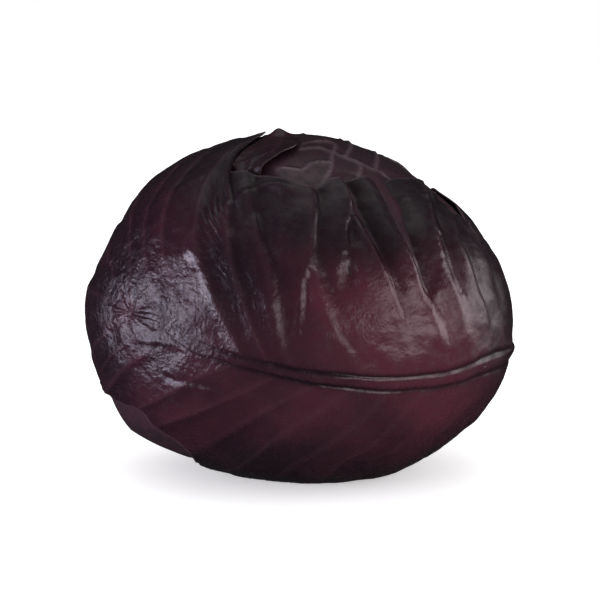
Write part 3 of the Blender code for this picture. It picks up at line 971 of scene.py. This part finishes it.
@dataclass
class FrontLeaf:
    """The outermost leaf, over the front of the head and round its crown."""

    thickness: float = BLADE_THICKNESS
    columns: int = 130
    fan: int = 10
    rows: int = 150
    rib_width: float = 0.0036
    fold_height: float = 0.0012
    fold_width: float = 0.0035
    star: Point = (-71, -3)
    tears: tuple[Tear, ...] = (Tear(4.45, 0.88, 0.0022, 0.0012), Tear(10.0, 0.80, 0.0022, 0.0018))
    rib_points: tuple[Point, ...] = (
        (85, 31, -11), (88, 18, -14), (87, -18), (77, -24), (65, -29), (49, -31.5), (32, -32.5),
        (16, -31), (0, -29), (-22, -24), (-43, -17), (-58, -7), (-71, -3))
    fold: tuple[Point, ...] = ((-44, 22), (-43, 28), (-38, 34), (-31, 39), (-25, 43), (-17, 48),
                               (-12, 50), (-6, 47))
    above: tuple = (
        (((85, 31, -11), (86, 27, 6), (80, 36, 22), (71, 41, 36), (62, 40, 48)), 0, 1.0),
        (((88, 20, -14), (88, 15, 6), (82, 18, 24), (72, 21, 40), (62, 20, 52)), 0, 1.2),
        (((87, -17), (87.5, -2), (84, 12), (77, 25)), 10, 1.2),
        (((82.5, -20), (81.5, -5), (78, 9), (75, 20), (69.5, 31)), 6, 2.0),
        (((77, -24), (76.5, -5), (72.5, 6), (68, 20), (64, 28.5), (62, 37)), 6, 3.2),
        (((71, -27), (68.5, -10), (62, 10), (57, 25), (53, 39), (50, 50)), 1, 4.5),
        (((61, -30), (57, -13.5), (52.5, 2), (46.5, 16), (38.5, 34), (27.5, 53)), 0, 5.0),
        (((48.5, -31), (43.5, -14.5), (39.5, 0), (32.5, 17.5), (22.5, 38), (19, 49),
          (15, 53.5)), 0, 2.2),
        (((26.5, -32), (19.5, -19), (10.5, 1), (4, 17.5), (4, 32.5), (5, 44), (2, 50.5)), 0, 1.6),
        (((-2, -28.5), (-10, -9.5), (-13, 13.5), (-18, 27.5), (-21, 41), (-23.5, 55.5)), 0, 1.4),
        (((-12, -27), (-20, -10), (-25, 5), (-29, 20), (-30.5, 35), (-28.5, 43.5), (-30, 50),
          (-30.5, 58.5)), 0, 0.6),
        (((-22, -24), (-30, -10), (-35.5, 3), (-42, 20), (-43, 34), (-40, 48), (-32, 60),
          (-19, 69)), 6, 0.4),
        (((-43, -17), (-50, -2), (-54, 12), (-57, 26), (-55, 42), (-47, 55), (-40, 61)), 18, 0.4),
        (((-59, -7), (-62, 10), (-64, 24), (-63, 38), (-60, 45)), 26, 0.4),
    )
    tip: tuple = (
        (((-71, -3), (-70, 11), (-70, 31), (-69, 38)), 28, 0.8),
        (((-71, -3), (-76, 10), (-79, 22)), 34, 0.8),
        (((-71, -3), (-79, 2), (-86, 6)), 32, 0.8),
        (((-71, -3), (-79, -10), (-85, -17)), 24, 0.8),
    )
    below: tuple = (
        (((85, 31, -11), (79, 38, -28), (68, 41, -44), (54, 42, -56)), 0, 0.9),
        (((88, 14, -14), (84, 16, -32), (74, 20, -48), (60, 27, -60), (46, 35, -64)), 0, 0.9),
        (((82, -21), (80, -30.5), (73, -43), (66, -50), (58, 5, -62), (45, 22, -66),
          (34, 34, -66)), 0, 0.9),
        (((76, -24.5), (72.5, -34), (63, -47), (52.5, -57.5), (38, 2, -70), (28, 18, -71),
          (20, 31, -69)), 0, 0.9),
        (((68, -28), (61, -38), (51.5, -47.5), (39, -59), (26, -66), (14, 10, -71),
          (4, 28, -70)), 0, 0.9),
        (((55, -31), (48, -38), (40.5, -46), (27, -59), (12, -68), (-2, 6, -71),
          (-9, 22, -70)), 0, 0.9),
        (((39, -33), (32.5, -39), (21.5, -50), (2, -63), (-7, -69), (-18, 2, -70),
          (-23, 14, -69)), 0, 0.9),
        (((24, -32.5), (13, -39.5), (-10.5, -55), (-25, -66), (-36, -2, -66)), 0, 0.9),
        (((8, -30.5), (-6.5, -39), (-19, -46), (-32, -53.5), (-44, -59.5)), 3, 0.8),
        (((-8, -27.5), (-25, -36), (-39, -42), (-53.5, -47), (-61, -50)), 0, 0.8),
        (((-24, -23.5), (-41, -28.5), (-53.5, -35.5), (-62, -40), (-68, -43)), 0, 0.8),
        (((-43, -17), (-57.5, -18.5), (-68, -22.5), (-76, -30)), 14, 0.8),
        (((-58, -7), (-68, -14), (-77, -20), (-81, -26)), 22, 0.8),
    )
    creases: tuple = (
        (((58, 17.6), (57, 6), (54.4, -3)), 0.5, 1.0),
        (((2, 16.4), (0.8, 10), (-0.8, -3), (-2, -12.3)), 0.7, 1.1),
        (((26.6, 10.6), (30, 0), (33.9, -11.5)), 0.4, 1.2),
        (((-41.7, 20), (-39.7, 14.3), (-35.6, 2.9), (-30, -10.2), (-25, -18.4)), 0.8, 2.2),
        (((-13.5, 4), (-11.5, -7), (-9.4, -17)), 0.6, 1.8),
        (((-22, 41), (-20.4, 33), (-16.8, 24.5), (-13.9, 12.3)), -0.6, 0.8),
        (((-70, 11), (-69, 18), (-70.3, 20.4), (-69.5, 31.5)), -0.4, 0.7),
        (((19.6, 47), (21, 39.7), (18.4, 32), (18.4, 22.5)), 0.6, 0.9),
        (((21.8, 41), (21.2, 28.6), (20.4, 17.6), (22, 8)), -1.5, 1.5),
        (((32.3, 49), (37.2, 38), (40.5, 30), (44.6, 22.5), (48.7, 12.3)), 0.6, 0.9),
        (((41.5, 43), (43, 34), (46, 24.5)), -1.7, 1.9),
        (((50.7, 45), (57, 31.5), (60, 21.3), (62.2, 14.3), (64.2, 2)), 0.6, 0.9),
        (((60, 28.6), (63.5, 17.6), (66, 6)), -0.9, 1.3),
        (((25, 26.6), (40.5, 2), (44.6, -10.2)), -0.5, 0.8),
        (((43.4, 26.6), (50.7, 12.3), (57, -2), (61, -11)), -0.5, 0.8),
        (((57.7, 30), (71.2, 6), (74.4, -6)), -0.5, 0.8),
        (((3.7, 14.3), (16, -10), (21, -18.4)), -0.5, 0.8),
        (((9, 47), (3, 37), (0, 20), (1, 8)), -0.3, 1.4),
        (((85, -17), (87.5, -18)), 1.2, 3.0),
        (((-55, -30), (-40, -33), (-24, -36)), -0.5, 1.2),
        (((-66, -14), (-52, -16), (-40, -22)), 0.5, 1.6),
        (((10, -44), (-4, -54), (-18, -60)), 0.5, 1.6),
        (((-45, 22), (-38, 34), (-31, 39), (-25, 43), (-17, 48), (-8, 48.5)), 0.9, 1.6),
        (((-41, 18), (-34, 29), (-27, 34), (-19, 39)), -0.5, 2.0),
        (((-60, 40), (-50, 48), (-42, 52)), 0.5, 1.8),
    )
    hollows: tuple = (((21, 32), 2.6, 6.0, 1.8), ((41.5, 38), 3.0, 7.0, 2.6),
                      ((20.5, 12), 2.4, 5.0, 1.6), ((2.5, 6), 2.4, 8.0, 1.2),
                      ((52, 8), 3.0, 9.0, 0.8), ((62, -6), 3.2, 6.0, 0.8))
    star_spokes: tuple[int, int] = (9, 17)
    spoke_height: float = 0.00035
    star_ring: float = 0.006
    star_width: float = 0.007
    scar_depth: float = 0.0012
    scar_width: float = 0.0035
    sky: tuple[float, float, float] = (0.15, -0.1, 0.98)
    sky_bloom: float = 0.75
    least_crinkle: float = 0.09
    lumped_from: float = 0.3
    red_zones: tuple = ((0.85, (48, -8), 34, 22), (0.75, (62, -38), 26, 22),
                        (0.3, (-5, -45), 50, 18), (0.5, (18, 4), 16, 16),
                        (0.25, (-20, -20), 30, 16), (0.5, (-71, -3), 6, 6))
    bloom_zones: tuple = ((0.65, (80, 5), 16, 40), (0.25, (-20, -64), 60, 14))
    crinkle_zones: tuple = ((1.0, (-55, -8), 34, 30), (0.6, (-75, 20), 20, 30),
                            (0.7, (30, 0), 5, 14), (0.25, (40, 5), 40, 26))

    def shape(self) -> Blade:
        """Lofts the blade and gives it its relief.

        Returns:
            The leaf's outer side.
        """
        blade = Blade(FORM.path(self.rib_points), Vein.listed(self.above), Vein.listed(self.tip),
                      Vein.listed(self.below), self.tears, self.columns, self.fan, self.rows)
        blade.ruffle(amount=0.022, lift=0.0004, seed=2.0)
        blade.add_hollows()
        blade.add_midrib(self.rib_width, height=0.0003, groove=0.0006)
        blade.add_veins(height=0.00016, width=0.0008)
        blade.add_ridge(self.fold, self.fold_height, self.fold_width)
        for point, width, height, depth in self.hollows:
            blade.relief -= depth * MM * region(blade.directions, point, width, height)
        for points, height, width in self.creases:
            blade.add_ridge(points, height * MM, width * MM)
        self.wrinkle_star(blade)
        blade.add_lumps(size=0.022, height=0.0008, seed=3.0)
        blade.add_lumps(size=0.007, height=0.00022, seed=11.0)
        blade.open_tears()
        self.mark_zones(blade)
        # The edge mark is a painted highlight along the margin.
        blade.marks["edge"] = step_up(blade.rows, 0.988, 1.0)
        crinkled = np.clip(blade.marks["crinkle"] - self.lumped_from, 0, 1)
        blade.relief += 0.00055 * crinkled * rough(blade.base_points(), 0.0075, 3, 15.0)
        return blade

    def wrinkle_star(self, blade: Blade) -> None:
        """Draws the blade in round the crown's scar in radial wrinkles.

        Args:
            blade: The blade, which is changed.
        """
        middle, side, rise = patch_axes(self.star)
        across, up = blade.directions @ side, blade.directions @ rise
        away = np.arccos(np.clip(blade.directions @ middle, -1, 1)) * HEAD_RADIUS
        turn = np.arctan2(up, across)
        few, many = self.star_spokes
        waves = np.sin(few * turn + 2.0 * np.sin(2 * turn)) + 0.6 * np.sin(many * turn + 1.0)
        blade.relief += self.spoke_height * waves * bell(away - self.star_ring, self.star_width)
        blade.relief -= self.scar_depth * bell(away, self.scar_width)

    def mark_zones(self, blade: Blade) -> None:
        """Marks where the leaf is redder, bloomed or crinkled.

        Args:
            blade: The blade, which is marked.
        """
        d = blade.directions
        blade.marks["red"] = np.clip(patched(d, self.red_zones), 0, 1)
        skyward = step_up(d @ np.array(self.sky), 0.40, 0.85)
        blade.marks["bloom"] = np.clip(
            self.sky_bloom * skyward + patched(d, self.bloom_zones), 0, 1)
        blade.marks["crinkle"] = np.clip(
            patched(d, self.crinkle_zones) + self.least_crinkle, 0, 1)


@dataclass
class TornFlap:
    """The torn scrap of leaf on top, with the nub of a broken rib standing on it."""

    thickness: float = 0.0011
    lift: float = 0.0020
    first_row: float = 0.06
    rows: int = 90
    columns_between: int = 24
    sunk: float = 0.0008
    covered_drop: float = 0.0022
    nub: Point = (-9, 70)
    nub_height: float = 0.0030
    nub_width: float = 0.0032
    rib: tuple[Point, ...] = ((-12, 62), (-9, 66), (-7, 69))
    rib_width: float = 0.0007
    edges: tuple = (
        (((-28, 47), (-37, 57), (-34, 65)), 16, 0.0),
        (((-24, 49), (-30, 56), (-27, 63), (-23, 67)), 15, 0.0),
        (((-19, 50), (-22, 57), (-16, 63), (-11, 68.5)), 13, 0.0),
        (((-14, 49), (-17, 55.5), (-9.5, 61), (-2, 65.2), (-0.5, 69)), 8, 0.0),
    )

    def shape(self, front: Blade) -> Sheet:
        """Lofts the scrap from its covered edge to its free edge.

        Args:
            front: The front leaf, which the scrap comes out from under.

        Returns:
            The scrap's outer side.
        """
        edges = Vein.listed(self.edges)
        places = np.linspace(self.first_row, 1, self.rows)
        lines = [unit(lofted(edges, low, k / self.columns_between, places))
                 for low in range(len(edges) - 1) for k in range(self.columns_between)]
        lines.append(along(edges[-1].path, places))
        scrap = Sheet(lines, places)
        scrap.relief -= self.sunk
        scrap.ruffle(amount=0.20, lift=0.0006, seed=8.0)
        free = np.linspace(0, 1, len(lines))[:, None]
        scrap.relief += self.lift * free ** 3 * np.sin(math.pi * scrap.rows)
        scrap.add_lumps(size=0.010, height=0.0005, seed=5.0)
        scrap.relief -= self.covered_drop * (1 - step_up(scrap.rows, self.first_row, 0.35))
        spread = FORM.distance(np.array([FORM.place_of(self.nub)] * 2), scrap.directions)
        scrap.relief += self.nub_height * bell(spread, self.nub_width)
        limit = cover(scrap.directions, (front,), BLADE_THICKNESS, gap=0.0004, slope=0.9,
                      spread=0.002)
        scrap.relief = np.minimum(scrap.relief, limit - FORM.reach(scrap.directions))
        zeros = np.zeros(scrap.rows.shape)
        vein = bell(FORM.distance(FORM.path(self.rib), scrap.directions), self.rib_width)
        # The edge mark is a painted highlight along the scrap's free margin.
        scrap.marks = {"red": zeros + 0.1, "bloom": zeros + 0.35, "crinkle": zeros + 0.2,
                       "vein": vein, "edge": step_up(scrap.rows, 0.98, 1.0)}
        return scrap


@dataclass
class BackLeaf:
    """The leaf over the hidden side, whose lower edge comes out under the front leaf."""

    thickness: float = BLADE_THICKNESS
    rib_points: tuple[Point, ...] = ((72, 56, 2), (60, 68, 8), (30, 84, 8), (0, 88, 6),
                                     (-30, 82, 3), (-58, 66, 0))
    columns: int = 110
    fan: int = 12
    rows: int = 130
    vein_count: int = 10
    first_share: float = 0.02
    share_span: float = 0.93
    sweep: float = 0.55
    reach_above: float = math.radians(68)
    reach_below: float = math.radians(104)
    wave: float = math.radians(1.5)
    hollow_mm: float = 1.7
    tip_veins: int = 4
    tip_reach: float = math.radians(58)
    tip_spread: float = math.radians(104)
    tip_hollow_mm: float = 0.8
    margin_drop: float = 0.0014
    hollow_shade: float = 0.45

    def side_veins(self, rib: Array, reach_angle: float, turn: int) -> list[Vein]:
        """Side veins on one side, worked out by rule.

        Args:
            rib: Directions along the midrib.
            reach_angle: How far round the head they run.
            turn: 1 for one side of the midrib, -1 for the other.

        Returns:
            The veins from the stem end.
        """
        veins = []
        for k in range(self.vein_count):
            share = self.first_share + self.share_span * k / (self.vein_count - 1)
            start = along(rib, [share])[0]
            ahead = unit(along(rib, [min(share + 0.02, 1.0)])[0] - along(rib, [share - 0.02])[0])
            side = unit(np.cross(start, ahead)) * turn
            heading = unit(side + ahead * self.sweep * (0.35 + 0.65 * share))
            far = reach_angle * (0.72 + 0.28 * math.sin(math.pi * min(1.0, share + 0.18)))
            far += self.wave * math.sin(2.4 * k + turn)
            points = [start * math.cos(far * t) + heading * math.sin(far * t)
                      for t in (0.0, 0.25, 0.5, 0.75, 1.0)]
            veins.append(Vein(smooth_line(points, 8),
                              self.hollow_mm * (0.7 + 0.3 * math.sin(1.7 * k))))
        return veins

    def shape(self, covering: tuple[Sheet, ...]) -> Blade:
        """Lofts the blade and keeps it under the leaves that cover it.

        Args:
            covering: The leaves on top.

        Returns:
            The leaf's outer side.
        """
        rib = smooth_line([unit(p) for p in self.rib_points], 8)
        ahead = unit(rib[-1] - rib[-2])
        side = unit(np.cross(rib[-1], ahead))
        tip = []
        for k in range(self.tip_veins):
            angle = self.tip_spread * (0.5 - k / (self.tip_veins - 1))
            heading = ahead * math.cos(angle) + side * math.sin(angle)
            points = [rib[-1] * math.cos(self.tip_reach * t) + heading
                      * math.sin(self.tip_reach * t) for t in (0.0, 0.5, 1.0)]
            tip.append(Vein(smooth_line(points, 8), self.tip_hollow_mm))
        blade = Blade(rib, self.side_veins(rib, self.reach_above, 1), tip,
                      self.side_veins(rib, self.reach_below, -1), (), self.columns, self.fan,
                      self.rows)
        blade.ruffle(amount=0.040, lift=0.0005, seed=6.0)
        blade.add_hollows()
        blade.add_midrib(width=0.0036, height=0.0014, groove=0.0009)
        blade.add_veins(height=0.00045, width=0.0010)
        blade.add_lumps(size=0.022, height=0.0008, seed=7.0)
        blade.relief -= self.margin_drop * step_up(blade.rows, 0.72, 1.0)
        limit = cover(blade.directions, covering, BLADE_THICKNESS, BLADE_GAP, UNDER_SLOPE,
                      UNDER_SPREAD)
        blade.relief = np.minimum(blade.relief, limit - FORM.reach(blade.directions))
        d = blade.directions
        upness = d @ np.array((0.0, 0.1, 0.99))
        blade.marks["red"] = 0.45 * step_up(-d[..., 2], -0.3, 0.6)
        blade.marks["bloom"] = 0.7 * step_up(upness, 0.1, 0.8) + 0.2
        blade.marks["crinkle"] = np.full(blade.rows.shape, 0.25)
        # The edge mark is a painted highlight along the margin.
        blade.marks["edge"] = step_up(blade.rows, 0.988, 1.0)
        blade.marks["hollow"] *= self.hollow_shade
        return blade


@dataclass
class InnerHead:
    """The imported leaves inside; the uppermost shows on top with its raised net of veins."""

    depth: float = 0.0023
    net_height: float = 0.0008
    net_width: float = 0.0007
    rib: tuple[Point, ...] = ((74, 52, 20), (52, 52, 46), (18, 48, 62), (-20, 42, 64),
                              (-48, 30, 52))
    rib_width: float = 0.0018
    vein_reach: float = math.radians(34)
    seat_gap: float = 0.0007
    seat_slope: float = 1.2
    neck: Point = (76, 45, -3)
    seat: float = 0.0785
    seat_reach: float = 0.0165
    floor: float = 0.0046
    net: tuple = (
        ((4, 69), (14, 68), (13, 63), (12.5, 57), (8, 50)),
        ((-1, 66), (7, 66.5), (13.5, 64.5), (19, 62.5), (25, 59.5), (24, 52)),
        ((0, 67.5), (2.5, 69), (12, 69)),
        ((25, 60), (31, 57), (37, 55), (44, 49)),
        ((19, 63), (21, 67), (20, 71)),
        ((31, 57), (32, 62), (31, 66)),
        ((-8, 58), (0, 57), (5, 60), (13, 60.5)),
    )

    @property
    def skin(self) -> dict[str, float]:
        """How red, bloomed and crinkled the inner leaves are all over."""
        return {"red": 0.35, "bloom": 0.55, "crinkle": 0.15}

    def shape(self, blades: tuple[Sheet, ...], material: bpy.types.Material) -> bpy.types.Object:
        """Makes the piece, kept under all the leaves.

        Args:
            blades: The leaves that cover it.
            material: Its finish.

        Returns:
            The piece.
        """
        work = bmesh.new()
        bmesh.ops.create_icosphere(work, subdivisions=7, radius=1.0)
        directions = unit(np.array([v.co[:] for v in work.verts]))
        plain = FORM.reach(directions) - self.depth
        plain += 0.0006 * rough(directions * HEAD_RADIUS, 0.03, 2, 1.0)
        net = np.zeros(len(directions))
        for line in self.net:
            net = np.maximum(net, bell(FORM.distance(FORM.path(line, 0, 4), directions),
                                       self.net_width))
        rib = smooth_line([unit(p) for p in self.rib], 6)
        for turn in (-1, 1):
            for vein in BackLeaf().side_veins(rib, self.vein_reach, turn):
                thin = 0.7 * bell(FORM.distance(vein.path[::4], directions), self.net_width)
                net = np.maximum(net, thin)
        net = np.maximum(net, bell(FORM.distance(rib, directions), self.rib_width))
        radii = plain + self.net_height * net
        radii = np.minimum(radii, cover(directions, blades, BLADE_THICKNESS, BLADE_GAP,
                                        UNDER_SLOPE, UNDER_SPREAD))
        neck = unit(self.neck)
        aside = np.arccos(np.clip(directions @ neck, -1, 1))
        seat = (self.seat - self.seat_gap) / np.cos(np.minimum(aside, 0.5))
        seat += self.seat_slope * np.maximum(0, aside * self.seat - self.seat_reach)
        radii = np.minimum(radii, seat)
        points = FORM.settled(directions, radii, self.floor)
        layers = {name: work.verts.layers.float.new(name) for name in (*self.skin, "vein")}
        for index, vert in enumerate(work.verts):
            vert.co = points[index]
            for name, value in self.skin.items():
                vert[layers[name]] = value
            vert[layers["vein"]] = float(net[index])
        return finish_piece("inner_leaves", work, material, ("inner_head",))


@dataclass
class StemStump:
    """The cut stem with the scars of trimmed leaf bases stepping down its side."""

    radius: float = 0.0130
    end: float = 0.0900
    seat: float = 0.0785
    scars: int = 5
    scar_depth: float = 0.0016
    scar_twist: float = 1.7
    flare: float = 0.0015
    segments: int = 160
    upright_cuts: int = 30
    rings: int = 12
    lump_size: float = 0.004
    lump_height: float = 0.0004
    rim_drop: float = 0.0006
    neck: Point = (76, 45, -3)

    def shape(self, material: bpy.types.Material) -> bpy.types.Object:
        """Makes the piece from a finely divided drum.

        Args:
            material: Its finish.

        Returns:
            The piece.
        """
        work = bmesh.new()
        length = self.end - self.seat
        bmesh.ops.create_cone(work, segments=self.segments, radius1=self.radius,
                              radius2=self.radius, depth=length, cap_ends=True,
                              cap_tris=False)
        upright = [e for e in work.edges
                   if abs(e.verts[0].co.z - e.verts[1].co.z) > length / 2]
        bmesh.ops.subdivide_edges(work, edges=upright, cuts=self.upright_cuts)
        caps = [f for f in work.faces if len(f.verts) > 4]
        for _ in range(self.rings):
            bmesh.ops.inset_region(work, faces=caps, thickness=self.radius / (self.rings + 1))
        layer = work.verts.layers.float.new("side")
        for vert in work.verts:
            height = vert.co.z / length + 0.5
            away = math.hypot(vert.co.x, vert.co.y) / self.radius
            turn = math.atan2(vert.co.y, vert.co.x) / math.tau * self.scars
            step = (turn + self.scar_twist * height) % 1.0
            cut = self.scar_depth * step * min(1.0, 4 * height) * away ** 4
            grown = 1 + (self.flare * (1 - height) ** 2 - cut) * away ** 4 / self.radius
            lump = noise.fractal(Vector(vert.co) / self.lump_size, 1.0, 2.0, 3)
            vert.co.x *= grown
            vert.co.y *= grown
            if height > 0.98:
                vert.co.z += self.lump_height * lump - self.rim_drop * away ** 6
            vert[layer] = 1.0 if height < 0.9 else 0.6 * away ** 8
        neck = Vector(unit(self.neck))
        turned = neck.to_track_quat("Z", "Y").to_matrix().to_4x4()
        place = Vector(FORM.centre) + neck * (self.seat + length / 2)
        bmesh.ops.transform(work, matrix=Matrix.Translation(place) @ turned,
                            verts=work.verts[:])
        return finish_piece("cut_stem", work, material, ("stem_stump",))


@dataclass(frozen=True)
class Lamp:
    """A soft rectangular light: its place and size in metres, watts and colour."""

    name: str
    place: tuple[float, float, float]
    size: tuple[float, float]
    power: float
    colour: tuple[float, float, float] = (1.0, 1.0, 1.0)


@dataclass
class Studio:
    """A pale floor, soft lights and the camera at the photograph's viewing angle."""

    image_size: int = 600
    metres_per_pixel: float = 0.000409
    centre_pixel: tuple[float, float] = (301.0, 305.0)
    sensor: float = 36.0
    floor_size: float = 3.2
    floor_drop: float = 0.0003
    floor_white: float = 0.93
    floor_glow: float = 0.42
    room_glow: float = 0.02
    lit_height: float = 0.07
    lamps: tuple[Lamp, ...] = (
        Lamp("overhead", (0.0, 0.10, 1.3), (1.2, 1.0), 2),
        Lamp("side_window", (-0.90, -0.28, 0.10), (0.80, 0.22), 8.5, (0.86, 0.79, 1.0)),
        Lamp("front_right", (0.72, -0.78, 0.20), (0.72, 0.38), 2.5, (1.0, 0.88, 0.92)),
        Lamp("right_window", (1.00, 0.10, 0.24), (0.70, 0.50), 3.2, (1.0, 0.90, 0.94)),
    )

    def camera(self) -> None:
        """Puts the camera where the eye is."""
        data = bpy.data.cameras.new("camera")
        span = self.image_size * self.metres_per_pixel
        data.sensor_width = self.sensor
        data.lens = self.sensor * FORM.eye_distance / span
        data.shift_x = (self.image_size / 2 - self.centre_pixel[0]) / self.image_size
        data.shift_y = (self.centre_pixel[1] - self.image_size / 2) / self.image_size
        data.clip_end = 20
        eye = bpy.data.objects.new("camera", data)
        eye.location = Vector(FORM.centre) + Vector(FORM.near) * FORM.eye_distance
        eye.rotation_euler = (math.pi / 2 - FORM.eye_tilt, 0, 0)
        bpy.context.scene.collection.objects.link(eye)
        bpy.context.scene.camera = eye

    def light(self, lamp: Lamp) -> None:
        """Adds a light that faces the head.

        Args:
            lamp: The light's values.
        """
        data = bpy.data.lights.new(lamp.name, "AREA")
        data.shape = "RECTANGLE"
        data.size, data.size_y = lamp.size
        data.energy = lamp.power
        data.color = lamp.colour
        light = bpy.data.objects.new(lamp.name, data)
        light.location = lamp.place
        aim = Vector((0, 0, self.lit_height)) - Vector(lamp.place)
        light.rotation_euler = aim.to_track_quat("-Z", "Y").to_euler()
        bpy.context.scene.collection.objects.link(light)

    def floor(self) -> None:
        """A white floor far wider than the view."""
        bpy.ops.mesh.primitive_plane_add(size=self.floor_size, location=(0, 0, -self.floor_drop))
        plane = bpy.context.object
        plane.name = "floor"
        shade = Shader("floor_white")
        shade.surface.inputs["Base Color"].default_value = (*[self.floor_white] * 3, 1)
        shade.surface.inputs["Roughness"].default_value = 0.9
        shade.surface.inputs["Specular IOR Level"].default_value = 0.1
        shade.surface.inputs["Emission Color"].default_value = (1, 1, 1, 1)
        shade.surface.inputs["Emission Strength"].default_value = self.floor_glow
        plane.data.materials.append(shade.material)
        plane.visible_glossy = False

    def surroundings(self) -> None:
        """White all round for the camera and for soft shade, and a dim room in reflections."""
        world = bpy.data.worlds.new("room")
        bpy.context.scene.world = world
        world.use_nodes = True
        tree = world.node_tree
        tree.nodes.clear()
        out = tree.nodes.new("ShaderNodeOutputWorld")
        mix = tree.nodes.new("ShaderNodeMixShader")
        path = tree.nodes.new("ShaderNodeLightPath")
        room = tree.nodes.new("ShaderNodeBackground")
        white = tree.nodes.new("ShaderNodeBackground")
        room.inputs["Color"].default_value = (0.95, 0.95, 1.0, 1)
        room.inputs["Strength"].default_value = self.room_glow
        white.inputs["Color"].default_value = (1, 1, 1, 1)
        white.inputs["Strength"].default_value = 1.0
        turned = tree.nodes.new("ShaderNodeMath")
        turned.operation = "SUBTRACT"
        turned.inputs[0].default_value = 1.0
        tree.links.new(path.outputs["Is Glossy Ray"], turned.inputs[1])
        tree.links.new(turned.outputs[0], mix.inputs[0])
        tree.links.new(room.outputs[0], mix.inputs[1])
        tree.links.new(white.outputs[0], mix.inputs[2])
        tree.links.new(mix.outputs[0], out.inputs["Surface"])

    def set_up(self) -> None:
        """Sets up the whole studio."""
        bpy.context.scene.view_settings.view_transform = "Standard"
        self.camera()
        self.floor()
        self.surroundings()
        for lamp in self.lamps:
            self.light(lamp)


def main() -> None:
    """Builds every piece in order."""
    logging.basicConfig(level=logging.INFO, format="%(message)s")
    Studio().set_up()
    leaf = LeafFinish("waxy_leaf").build()
    inner = LeafFinish("inner_leaf_skin", dark=(0.022, 0.011, 0.017), red=(0.060, 0.018, 0.029),
                       vein=(0.12, 0.085, 0.10), vein_amount=0.45).build()
    stem = StemFinish().build()
    front_leaf, flap_leaf, back_leaf = FrontLeaf(), TornFlap(), BackLeaf()
    front = front_leaf.shape()
    flap = flap_leaf.shape(front)
    back = back_leaf.shape((front, flap))
    pieces = [
        finish_piece("front_wrapper", blade_geometry(front, front_leaf.thickness, 0.0), leaf,
                     ("front_leaf",)),
        finish_piece("torn_scrap", blade_geometry(flap, flap_leaf.thickness, 0.0), leaf,
                     ("torn_flap",)),
        finish_piece("back_wrapper", blade_geometry(back, back_leaf.thickness, 0.0018), leaf,
                     ("back_leaf",)),
        InnerHead().shape((front, back, flap), inner),
        StemStump().shape(stem),
    ]
    for piece in pieces:
        log.info("%s: %d faces", piece.name, len(piece.data.polygons))


if __name__ == "__main__":
    main()
